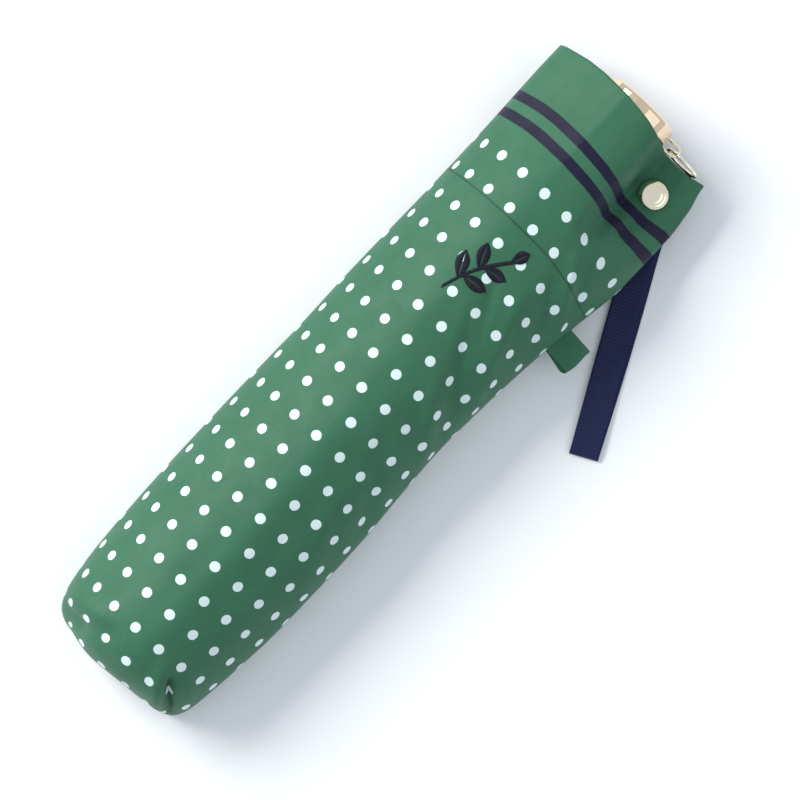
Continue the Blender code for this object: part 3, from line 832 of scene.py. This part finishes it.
# ---- side tab: a folded loop of the same cloth sewn into the right-hand seam
def build_tab():
    x0, x1 = 47.4, 57.8
    reach = 9.4
    verts, faces, uvs = [], [], []
    nu, nv = 25, 31
    for j in range(nv):
        s = j / (nv - 1)             # round the loop: top layer out, fold, back
        for i in range(nu):
            f = i / (nu - 1)
            x = x0 + (x1 - x0) * f
            seam = -look(LOOK_R, x) + 1.2
            out = reach + 1.2 + 0.35 * math.sin(f * 5.0)
            if s < 0.46:
                t = s / 0.46
                y, z = seam - out * t, 0.62 - 0.10 * t
            elif s > 0.54:
                t = (1 - s) / 0.46
                y, z = seam - out * t, -0.62 + 0.10 * t
            else:
                a = (s - 0.46) / 0.08 * math.pi
                y, z = seam - out - 0.5 * math.sin(a), 0.52 * math.cos(a)
            lift = 0.8 * math.sin(f * math.pi) * (1 if z > 0 else -0.4)
            lift *= ramp(abs(y - seam) / out, 0.05, 0.6)
            z += lift * 0.55
            sag = -1.9 * (abs(y - seam) / out) ** 1.5
            skew = 2.2 * (abs(y - seam) / out)
            under = ramp(s, 0.46, 0.60) * abs(y - seam) / out
            verts.append((x - skew * 0.35 - 1.5 * under, y,
                          Z0 - 7.0 + z + sag - 0.7 * under))
    for j in range(nv - 1):
        for i in range(nu - 1):
            faces.append((j * nu + i, j * nu + i + 1, (j + 1) * nu + i + 1,
                          (j + 1) * nu + i))
            for r, c in ((j, i), (j, i + 1), (j + 1, i + 1), (j + 1, i)):
                uvs.append((0.62 + c * 0.0018, 0.93 + r * 0.0018))
    ob = mesh_object("sleeve_tab_cloth", verts, faces, uvs)
    m = ob.modifiers.new("cloth", "SOLIDIFY")
    m.thickness = 0.28 * MM
    m.offset = 0.0
    apply_modifiers(ob)
    return ob


tab = build_tab()
dress(tab, CLOTH_PLAIN)
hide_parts("sleeve_tab")
SLEEVE_PIECES.append(tab)


# ---- embroidered motif: a generic leafy sprig in navy satin stitch
def build_motif():
    cx, cy = 50.0, 0.6
    verts, faces = [], []

    def stitch(p0, p1, radius, height):
        """One raised thread from p0 to p1 (pattern places), arched."""
        base = len(verts)
        n = 6
        d = Vector((p1[0] - p0[0], p1[1] - p0[1], 0))
        if d.length < 1e-6:
            return
        side = Vector((-d.y, d.x, 0)).normalized()
        for i in range(n):
            t = i / (n - 1)
            x, y = p0[0] + d.x * t, p0[1] + d.y * t
            p, nrm = surface(x, y)
            lift = height * math.sin(math.pi * t) ** 0.55 - 0.06
            c = p + nrm * lift
            r = 1.2 * radius * (0.8 if i in (0, n - 1) else 1.0)
            for k in range(5):
                a = math.tau * k / 5
                verts.append(tuple(c + side * math.cos(a) * r + nrm * math.sin(a) * r))
        for i in range(n - 1):
            for k in range(5):
                m = (k + 1) % 5
                faces.append((base + i * 5 + k, base + i * 5 + m,
                              base + i * 5 + 5 + m, base + i * 5 + 5 + k))
        faces.append(tuple(base + k for k in range(5))[::-1])
        faces.append(tuple(base + (n - 1) * 5 + k for k in range(5)))

    # the sprig's axis runs up the sleeve, leaning to the right
    lean = math.radians(-28)
    ax = Vector((math.cos(lean), math.sin(lean), 0))
    ay = Vector((-ax.y, ax.x, 0))

    def place(s, t):
        s, t = 1.2 * s, 1.25 * t
        return (cx + ax.x * s + ay.x * t, cy + ax.y * s + ay.y * t)

    def stem_t(s):
        return 1.1 * math.sin((s + 10.5) * 0.17)

    step = 0.34
    s = -11.0
    while s < 9.0:                      # stem, in short slanted stitches
        t = stem_t(s)
        w = 0.55
        stitch(place(s - 0.5, t - w), place(s + 0.5, t + w), 0.19, 0.42)
        s += step

    def leaf(s0, angle, length, width):
        root = Vector((s0, stem_t(s0), 0))
        u = Vector((math.cos(angle), math.sin(angle), 0))
        v = Vector((-u.y, u.x, 0))
        d = 0.0
        while d < length:
            f = d / length
            w = width * (math.sin(math.pi * f ** 0.8)) ** 0.9
            mid = root + u * d
            for sgn in (1, -1):          # two slanted sides meet at the vein
                tip = mid + v * (sgn * max(0.15, w)) + u * (0.55 * w)
                heart = mid - v * sgn * 0.05
                stitch(place(heart.x, heart.y), place(tip.x, tip.y), 0.19, 0.5)
            d += step

    leaf(-6.5, math.radians(52), 7.6, 2.1)
    leaf(-5.0, math.radians(-54), 7.4, 2.0)
    leaf(-0.5, math.radians(50), 7.2, 2.0)
    leaf(1.0, math.radians(-50), 6.8, 1.9)
    leaf(8.2, math.radians(6), 5.6, 1.8)
    return recalc(mesh_object("embroidered_sprig", verts, faces))


motif = build_motif()
dress(motif, SEW_NAVY)
SLEEVE_PIECES.append(motif)

for piece in SLEEVE_PIECES:
    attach(piece, "sleeve_body")
    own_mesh(piece)

# ------------------------------------------------------------------ snap caps
snap_top = SNAP_MID_Z + SNAP_HALF
cap = lathe("snap_cap_domed", [
    (0.0, snap_top + 2.30), (0.8, snap_top + 2.29), (1.6, snap_top + 2.24),
    (2.3, snap_top + 2.16), (2.75, snap_top + 2.06), (2.95, snap_top + 1.99),
    (3.1, snap_top + 2.00), (3.3, snap_top + 2.03), (3.8, snap_top + 1.90),
    (4.25, snap_top + 1.68), (4.6, snap_top + 1.40), (4.85, snap_top + 1.08),
    (5.02, snap_top + 0.72), (5.12, snap_top + 0.42), (5.14, snap_top + 0.24),
    (5.08, snap_top + 0.10), (4.9, snap_top + 0.04), (4.6, snap_top + 0.16),
    (0.0, snap_top + 0.2)], (SNAP_X, SNAP_Y, 0.0), steps=72)
dress(cap, GOLD_BRIGHT)
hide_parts("snap_cap")
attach(cap, "snap_front")
for name in ("snap_socket", "snap_stud", "snap_post"):
    dress(NODES[name], GOLD)

# ---------------------------------------------------------- strap ring and eye
RING_TILT = math.radians(40.0)
RING_C = (-18.7 - 4.8 * math.cos(RING_TILT), Z0 - 4.8 * math.sin(RING_TILT))
ring = tube_mesh("strap_ring_wire", [
    (122.7 - 0.07 * math.hypot(RING_C[0] + 18.7 + 6.2 * math.cos(math.tau * i / 72),
                               RING_C[1] - Z0 + 6.2 * math.sin(math.tau * i / 72)),
     RING_C[0] + 6.2 * math.cos(math.tau * i / 72),
     RING_C[1] + 6.2 * math.sin(math.tau * i / 72)) for i in range(72)],
    0.60, sides=16, closed=True)
dress(ring, GOLD_BRIGHT)
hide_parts("strap_ring")
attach(ring, "ring")

eye_pts = [(121.2, -13.6, Z0), (121.0, -15.6, Z0)]
for k in range(13):
    a = math.pi * k / 12
    eye_pts.append((122.9 - 1.9 * math.cos(a), -17.45 - 1.95 * math.sin(a), Z0))
eye_pts += [(124.8, -15.6, Z0), (124.9, -13.4, Z0)]
eye = tube_mesh("strap_eye_wire", eye_pts, 0.52, sides=14)
dress(eye, GOLD_BRIGHT)
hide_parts("strap_eye")
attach(eye, "handle")

# ------------------------------------------------------------------ wrist strap
STRAP_W, STRAP_LEN = 10.0, 100.0
STRAP_X, STRAP_Y = 121.1, RING_C[0] - 0.6


def strap_line(s, w):
    """Place of ribbon point s along and w across, seen from above; the ribbon
    swings a little in its own plane as it leaves the ring."""
    a0, a1, end = math.radians(196.5), math.radians(207.4), 38.0
    n = 24
    x, y = STRAP_X, STRAP_Y
    step = max(s, 0.0) / n
    for i in range(n):
        a = a0 + (a1 - a0) * ramp((i + 0.5) * step, 0.0, end)
        x += math.cos(a) * step
        y += math.sin(a) * step
    a = a0 + (a1 - a0) * ramp(s, 0.0, end)
    if s < 0:
        x += math.cos(a) * s
        y += math.sin(a) * s
    return Vector((x - math.sin(a) * w, y + math.cos(a) * w, 0.0))


def build_strap():
    low = RING_C[1] - 6.2
    upper, lower = [], []
    n = 110
    for k in range(n + 1):
        s = 0.4 + (STRAP_LEN - 0.4) * (k / n)
        f = min(1.0, s / 26.0)
        ease = 1 - (1 - f) ** 2.2
        gap = 0.50 + 0.10 * math.sin(s * 0.09)
        end = ramp(STRAP_LEN - s, 0.0, 2.2)
        z = (low - 0.55) * (1 - ease) + 0.86 * ease
        wave = 0.28 * math.sin(s * 0.055 + 0.6) * ease * (1 - ramp(s, 70, STRAP_LEN))
        upper.append((s, z + gap * (0.35 + 0.65 * end) + max(0.0, wave) * 0.8 + 0.04))
        lower.append((s, max(0.30, z - gap * (0.35 + 0.65 * end))))
    # points over the ring's wire; they are not joined into the ribbon
    head = []
    for k in range(1, 10):
        a = math.radians(-90 - 180 * k / 10)
        head.append((0.4 + 0.95 * math.cos(a) - 0.0, low - 0.55 + 0.52 * -math.sin(a)))
    tail = []
    for k in range(1, 6):
        a = math.radians(90 - 180 * k / 6)
        su, zu = upper[-1]
        sl, zl = lower[-1]
        tail.append((STRAP_LEN + 0.42 * math.cos(a), (zu + zl) / 2
                     + (zu - zl) / 2 * math.sin(a)))
    line = upper + tail + lower[::-1]
    verts, faces, uvs = [], [], []
    nv = 13
    acc = [0.0]
    for p, q in zip(line, line[1:]):
        acc.append(acc[-1] + math.hypot(q[0] - p[0], q[1] - p[1]))
    for i, (s, z) in enumerate(line):
        for k in range(nv):
            f = k / (nv - 1) - 0.5
            # the two layers lie a little fanned
            fan = math.sin(math.pi * max(0.0, min(1.0, s / STRAP_LEN)))
            w = STRAP_W * f + (-0.35 if i < len(upper) else 0.95) * fan
            curl = 0.10 * (abs(f) * 2) ** 4
            p = strap_line(s, w)
            verts.append((p.x, p.y, z + curl * (1 if i < len(upper) else 0)))
    for i in range(len(line) - 1):
        for k in range(nv - 1):
            faces.append((i * nv + k, i * nv + k + 1, (i + 1) * nv + k + 1,
                          (i + 1) * nv + k))
            for r, c in ((i, k), (i, k + 1), (i + 1, k + 1), (i + 1, k)):
                uvs.append((acc[r] / 200.0, c / (nv - 1)))
    ob = mesh_object("wrist_ribbon", verts, faces, uvs)
    m = ob.modifiers.new("ribbon", "SOLIDIFY")
    m.thickness = 0.42 * MM
    m.offset = 0.0
    apply_modifiers(ob)
    return ob


ribbon = build_strap()
dress(ribbon, RIBBON)
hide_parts("wrist_strap")
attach(ribbon, "strap")

# ------------------------------------------------------- carried-over CAD nodes
for name, ob in NODES.items():
    if name in ("handle_grip",):
        dress(ob, NAVY_PLASTIC)
    elif name in ("crown", "runner", "runner_catch"):
        dress(ob, BLACK_PLASTIC)
    elif name in ("ferrule_cap", "handle_end_cap"):
        dress(ob, GOLD)
    elif name.startswith(("rib_", "stretcher_", "upper_", "middle_", "lower_",
                          "crown_wire", "runner_wire")):
        dress(ob, STEEL)

# ------------------------------------------------------------ canopy, in use
# The cloth is set out as it stands open, then carried back to its folded
# place with the rib it belongs to.  Lengths in mm, u along the shaft from the
# crown, r out from the shaft's centre line.
X_CROWN = -107.0
RIB = ((0.0, 8.0, 78.0), (158.0, 10.0, -186.0), (2.0, 13.3, 174.0))
RING_ENDS = (156.4, 154.2, 155.0)
CHORD = math.cos(math.radians(30.0))


def turn(px, pr, deg):
    """Turn in a rib's plane about (px, pr), as a 3x3 matrix."""
    c, s = math.cos(math.radians(deg)), math.sin(math.radians(deg))
    return Matrix(((c, -s, px - c * px + s * pr), (s, c, pr - s * px - c * pr),
                   (0, 0, 1)))


OPEN = []
step_m = Matrix.Identity(3)
for pivot in RIB:
    step_m = step_m @ turn(*pivot)
    OPEN.append(step_m.copy())
BACK = [m.inverted() for m in OPEN]


def open_line(ring, t):
    """Point of the open rib of that ring, t along it, in (u, r)."""
    if ring == 0:
        rest = Vector((t, 8.0, 1.0))
    elif ring == 1:
        rest = Vector((158.0 - t, 10.0, 1.0))
    else:
        rest = Vector((2.0 + t, 13.3, 1.0))
    p = OPEN[ring] @ rest
    return p.x, p.y


# the meridian over a rib: points every few mm, with the cloth lying on it
MERIDIAN = []
CLEAR_AT = (0.0, 0.85, 1.0, 1.12, 1.5, 1.88, 2.0, 2.1, 3.0)
CLEAR = (2.0, 2.6, 3.6, 2.6, 2.2, 2.6, 2.9, 2.8, 2.8)
for ring, (t0, t1) in enumerate(((0.0, 158.0), (0.0, 156.0), (0.0, 157.5))):
    u0, r0 = open_line(ring, t0)
    u1, r1 = open_line(ring, t1)
    n = 26
    for i in range(n + (ring == 2)):
        f = i / n
        MERIDIAN.append((ring + f, u0 + (u1 - u0) * f, r0 + (r1 - r0) * f))
MER = np.array(MERIDIAN)
tan = np.gradient(MER[:, 1:], axis=0)
for _ in range(3):
    tan[1:-1] = (tan[:-2] + tan[1:-1] * 2 + tan[2:]) / 4
tan /= np.linalg.norm(tan, axis=1)[:, None]
lift = np.interp(MER[:, 0], CLEAR_AT, CLEAR)
MER[:, 1] -= tan[:, 1] * lift
MER[:, 2] += tan[:, 0] * lift
MER_S = np.concatenate(([0.0], np.cumsum(np.linalg.norm(np.diff(MER[:, 1:], axis=0),
                                                        axis=1))))
S_TOTAL = float(MER_S[-1])


def meridian(s):
    """(u, r) of the cloth over a rib, s mm out from the crown."""
    return (float(np.interp(s, MER_S, MER[:, 1])),
            float(np.interp(s, MER_S, MER[:, 2])))


def station(ring, t):
    return float(np.interp(ring + t, MER[:, 0], MER_S))


def open_point(s_rib, beta):
    """Cloth point in the open pose: s_rib along the rib, beta degrees round
    from the piece's first rib; returns u, r and the flat print place."""
    g = (beta % 60.0) - 30.0
    if beta >= 120.0:
        g = 30.0
    mid = max(0.0, math.cos(math.radians(3.0 * g)))
    # the rim is cut in a shallow curve from rib tip to rib tip
    outer = ramp(s_rib, 0.45 * S_TOTAL, S_TOTAL)
    s = s_rib - 19.0 * outer * outer * mid ** 0.8
    u, r = meridian(s)
    chord = CHORD / math.cos(math.radians(g))
    # nearly flat panels near the crown, fuller towards the rim
    tight = float(np.interp(s / S_TOTAL, (0.0, 0.33, 0.66, 1.0),
                            (0.85, 0.75, 0.36, 0.40)))
    r2 = r * (1.0 - tight * (1.0 - chord))
    gore = int(min(beta, 119.999) // 60)
    across = r * CHORD * math.tan(math.radians(g))
    return u, r2, across + 130.0 * gore, s_rib


def joint_line(ring, beta):
    """How far out the fold line at the end of that ring crosses beta."""
    want, sign = ((158.0, 1.0), (2.0, -1.0))[ring]
    lo, hi = station(ring, 0.5), station(ring + 1, 0.6)
    for _ in range(30):
        s = (lo + hi) / 2
        u, r, _, _ = open_point(s, beta)
        if sign * ((BACK[ring] @ Vector((u, r, 1.0))).x - want) < 0:
            lo = s
        else:
            hi = s
    return s


def build_canopy(j):
    phi0 = 30.0 + 120.0 * (j - 1)
    first = 2 * j - 1
    columns = 240
    amp = 0.5                       # each pleat's half width, in degrees
    for ring, ring_name in enumerate(("inner", "middle", "outer")):
        rows = ((11, 11, 13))
        nr = rows[ring]
        start = ([5.0] * (columns + 1) if ring == 0 else
                 [joint_line(ring - 1, 120.0 * k / columns)
                  for k in range(columns + 1)])
        stop = ([S_TOTAL] * (columns + 1) if ring == 2 else
                [joint_line(ring, 120.0 * k / columns)
                 for k in range(columns + 1)])
        verts, uvs_v, weights = [], [], []
        places = [(i, k, skin) for skin in (0, 1) for i in range(nr + 1)
                  for k in range(columns + 1)]
        for i, k, skin in places:
            beta = 120.0 * k / columns
            s = start[k] + (stop[k] - start[k]) * i / nr
            u, r, a, v = open_point(s, beta)
            if skin:                  # the cloth's underside
                u2, r2, _, _ = open_point(s - 1.0, beta)
                d = math.hypot(u - u2, r - r2)
                u, r = u + (r - r2) / d * 0.25, r - (u - u2) / d * 0.25
            # pleats: back and forth by the same angle
            ph = (beta / (4 * amp) + 0.25) % 1.0
            delta = -amp * (4 * abs(ph - 0.5) - 1.0)
            d = math.radians(delta)
            y_open = math.sin(d) * r
            q = BACK[ring] @ Vector((u, math.cos(d) * r, 1.0))
            ur, rr, side = q.x, q.y, y_open
            ph0 = math.radians(phi0)
            y = math.cos(ph0) * rr - math.sin(ph0) * side
            z = math.sin(ph0) * rr + math.cos(ph0) * side
            verts.append((X_CROWN + ur, y, Z0 + z))
            rim = S_TOTAL - v
            uvs_v.append(((a - U_LOW) / U_SPAN,
                          (CANOPY_RIM_V - rim - V_LOW) / V_SPAN))
            weights.append((beta - delta) / 120.0)
        cols = columns + 1
        under = (nr + 1) * cols
        faces, uvs = [], []
        edge = []
        for i in range(nr):
            edge.append((i * cols, (i + 1) * cols, (i + 1) * cols + under,
                         i * cols + under))
            edge.append(((i + 1) * cols + columns, i * cols + columns,
                         i * cols + columns + under,
                         (i + 1) * cols + columns + under))
        for k in range(columns):
            edge.append((k + 1, k, k + under, k + 1 + under))
            edge.append((nr * cols + k, nr * cols + k + 1,
                         nr * cols + k + 1 + under, nr * cols + k + under))
        for quad in edge:
            faces.append(quad)
            uvs += [uvs_v[c] for c in quad]
        for i in range(nr):
            for k in range(columns):
                quad = (i * cols + k, (i + 1) * cols + k,
                        (i + 1) * cols + k + 1, i * cols + k + 1)
                faces.append(quad)
                faces.append(tuple(c + under for c in quad)[::-1])
                gore_k = columns // 2
                for c in quad:
                    uu, vv = uvs_v[c]
                    # the seam column belongs to the panel on its own side
                    if c % cols == gore_k and k < gore_k:
                        b_s = start[0] + (stop[0] - start[0]) * (c // cols) / nr
                        uu = (meridian(b_s)[1] * CHORD * math.tan(math.radians(30.0))
                              - U_LOW) / U_SPAN
                    uvs.append((uu, vv))
                uvs += uvs[-4:][::-1]
        ob = mesh_object(f"canopy_cloth_{ring_name}_{j}", verts, faces, uvs)
        dress(ob, CLOTH_CANOPY)
        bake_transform(ob, f"rib_{ring_name}_{first}", f"canopy_{ring_name}_{j}",
                 (0, 0, 0), (0, 1, 0))
        attr = ob.data.attributes.get("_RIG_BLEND")
        attr.data.foreach_set("value", np.array(weights, np.float32))
        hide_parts(f"canopy_{ring_name}_{j}")


CANOPY_RIM_V = 112.0
for j in (1, 2, 3):
    build_canopy(j)

# ------------------------------------------------------ canopy, rolled away
ROLL_X = (-104.2, -103.6, -102.0, -98.0, -90.0, -70.0, -40.0, -9.0, -6.5, 2.0, 10.5, 13.0,
          25.0, 40.0, 49.0, 52.6)
ROLL_R = (9.4, 12.0, 14.6, 16.4, 17.0, 17.2, 17.2, 17.0, 16.9, 16.8, 16.9, 17.0,
          17.2, 17.3, 17.3, 17.1)


def build_roll():
    """Six pleats of canopy cloth wrapped one over the next round the ribs."""
    nx = 110
    turns = 1.12
    na = 220
    verts, faces, uvs = [], [], []
    for i in range(nx + 1):
        x = ROLL_X[0] + (ROLL_X[-1] - ROLL_X[0]) * i / nx
        base = at_table(ROLL_X, ROLL_R, x)
        for k in range(na + 1):
            f = k / na
            ang = math.radians(205.0) - math.tau * turns * f
            # pleats: each swells and tucks under the next
            ph = (f * 6.72 + 0.10 * math.sin(x * 0.045) + 0.0016 * (x + 104)) % 1.0
            swell = 0.55 * math.sin(math.pi * ph) ** 0.6 - 0.85 * ramp(ph, 0.93, 1.0)
            swell *= ramp(x, -103.0, -88.0) * (0.45 if -7 < x < 11 else 1.0)
            crinkle = noise.noise(Vector((x * 0.05, math.cos(ang) * 2.0,
                                          math.sin(ang) * 2.0))) * 0.30
            # the outermost layer starts under, and ends over, the one below
            lay = 0.50 * (ramp(f, 0.86, 0.93) - ramp(0.12 - f, 0.0, 0.12))
            r = base + 0.75 * (swell + crinkle) * 0.62 + lay * 0.7
            if x > 44.0:
                r += 0.35 * math.sin(ang * 9 + 1.0) * ramp(x, 44.0, 52.6)
            r = min(r, 18.0)
            edge = 0.0
            if i > nx * 0.86:
                edge = (2.6 * math.sin(f * math.tau * 3.4) - 2.6) * ramp(i / nx, 0.86, 1.0)
            verts.append((x + edge, math.cos(ang) * r, Z0 + math.sin(ang) * r))
    cols = na + 1
    for i in range(nx):
        for k in range(na):
            quad = (i * cols + k, i * cols + k + 1,
                    (i + 1) * cols + k + 1, (i + 1) * cols + k)
            faces.append(quad)
            for c in quad:
                row, col = divmod(c, cols)
                x = ROLL_X[0] + (ROLL_X[-1] - ROLL_X[0]) * row / nx
                ff = col / na
                ph = ff * 6.72
                # each pleat shows a slanting piece of another panel
                skew = 14.0 * (ph - math.floor(ph)) * (x + 104.0) / 157.0
                uvs.append(((math.tau * 16.6 * turns * ff - U_LOW) / U_SPAN,
                            (CANOPY_RIM_V - 20.0 - (52.6 - x) + skew - V_LOW)
                            / V_SPAN))
    ob = mesh_object("canopy_roll", verts, faces, uvs)
    m = ob.modifiers.new("cloth", "SOLIDIFY")
    m.thickness = 0.00025
    m.offset = -1.0
    apply_modifiers(ob)
    return ob


def at_table(xs, ys, x):
    return float(np.interp(x, xs, ys))


roll = build_roll()
dress(roll, CLOTH_CANOPY)
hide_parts("canopy_wrap")
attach(roll, "umbrella_root")
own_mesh(roll)


def build_band():
    """Tie band: a doubled strip round the roll, its free end lapped over; the small domed stud that holds it
    is not built here."""
    x0, x1, n = -7.4, 11.4, 240
    section = [(x0, 0.0), (x0 + 0.25, 0.55), (x0 + 1.3, 0.62), (2.0, 0.55),
               (x1 - 1.3, 0.62), (x1 - 0.25, 0.55), (x1, 0.0), (2.0, -0.02)]
    verts, faces, uvs = [], [], []
    for k in range(n + 1):
        f = k / n
        ang = math.radians(30.0) + math.tau * 1.10 * (f - 0.0)
        over = 0.85 * ramp(f, 0.86, 0.93)
        r0 = 17.35 + over * 0.6
        taper = ramp(1.0 - f, 0.0, 0.03)
        for x, h in section:
            xx = 2.0 + (x - 2.0) * (0.55 + 0.45 * taper)
            rr = min(r0 + h * 0.9, 18.5)
            verts.append((xx, math.cos(ang) * rr, Z0 + math.sin(ang) * rr))
    m = len(section)
    for k in range(n):
        for i in range(m):
            quad = (k * m + i, k * m + (i + 1) % m,
                    (k + 1) * m + (i + 1) % m, (k + 1) * m + i)
            faces.append(quad)
            for c in quad:
                kk, ii = divmod(c, m)
                uvs.append(((math.tau * 17 * 1.1 * kk / n - U_LOW) / U_SPAN,
                            (section[ii][0] - V_LOW) / V_SPAN))
    faces.append(tuple(range(m))[::-1])
    faces.append(tuple(n * m + i for i in range(m)))
    uvs += [(0.4, 0.4)] * (2 * m)
    return recalc(mesh_object("tie_band_cloth", verts, faces, uvs))


band = build_band()
dress(band, CLOTH_PLAIN)
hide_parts("tie_band")
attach(band, "rib_outer_1")
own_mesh(band)

# ----------------------------------------------------------- floor and lights
floor_mesh = bpy.data.meshes.new("floor")
floor_mesh.from_pydata([(-4, -4, 0), (4, -4, 0), (4, 4, 0), (-4, 4, 0)], [],
                       [(0, 1, 2, 3)])
floor = bpy.data.objects.new("floor", floor_mesh)
bpy.context.scene.collection.objects.link(floor)
paper = Shader("white_paper", rough=0.85)
paper.colour(paper.mix(paper.noise(3.0, 2.0), (0.86, 0.87, 0.89), (0.88, 0.89, 0.905)))
paper.bsdf.inputs["Specular IOR Level"].default_value = 0.15
dress(floor, paper.mat)


def area_light(name, place, target, size, power, colour):
    data = bpy.data.lights.new(name, "AREA")
    data.shape = "RECTANGLE"
    data.size, data.size_y = size
    data.energy = power
    data.color = colour
    ob = bpy.data.objects.new(name, data)
    bpy.context.scene.collection.objects.link(ob)
    ob.location = place
    aim = Vector(target) - Vector(place)
    ob.rotation_euler = aim.to_track_quat("-Z", "Y").to_euler()
    return ob


area_light("key", (-0.15, 1.25, 0.95), (0, 0, 0.01), (0.9, 0.6), 26.0,
           (1.0, 0.985, 0.955))
area_light("fill", (0.25, -0.9, 1.1), (0, 0, 0.0), (1.2, 1.0), 2.0,
           (0.90, 0.95, 1.0))

world = bpy.data.worlds.new("studio")
bpy.context.scene.world = world
world.use_nodes = True
world.node_tree.nodes["Background"].inputs[0].default_value = (0.87, 0.93, 1.0, 1)
world.node_tree.nodes["Background"].inputs[1].default_value = 0.72
bpy.context.scene.view_settings.view_transform = "Standard"

# --------------------------------------------------------------------- camera
cam_data = bpy.data.cameras.new("camera")
cam_data.lens = 137.7
cam_data.sensor_width = 36.0
camera = bpy.data.objects.new("camera", cam_data)
bpy.context.scene.collection.objects.link(camera)
camera.location = (0.00236, -0.00845, 1.0193)
camera.rotation_euler = (0.0, 0.0, math.radians(-46.66))
cam_data.clip_start, cam_data.clip_end = 0.05, 20.0
bpy.context.scene.camera = camera
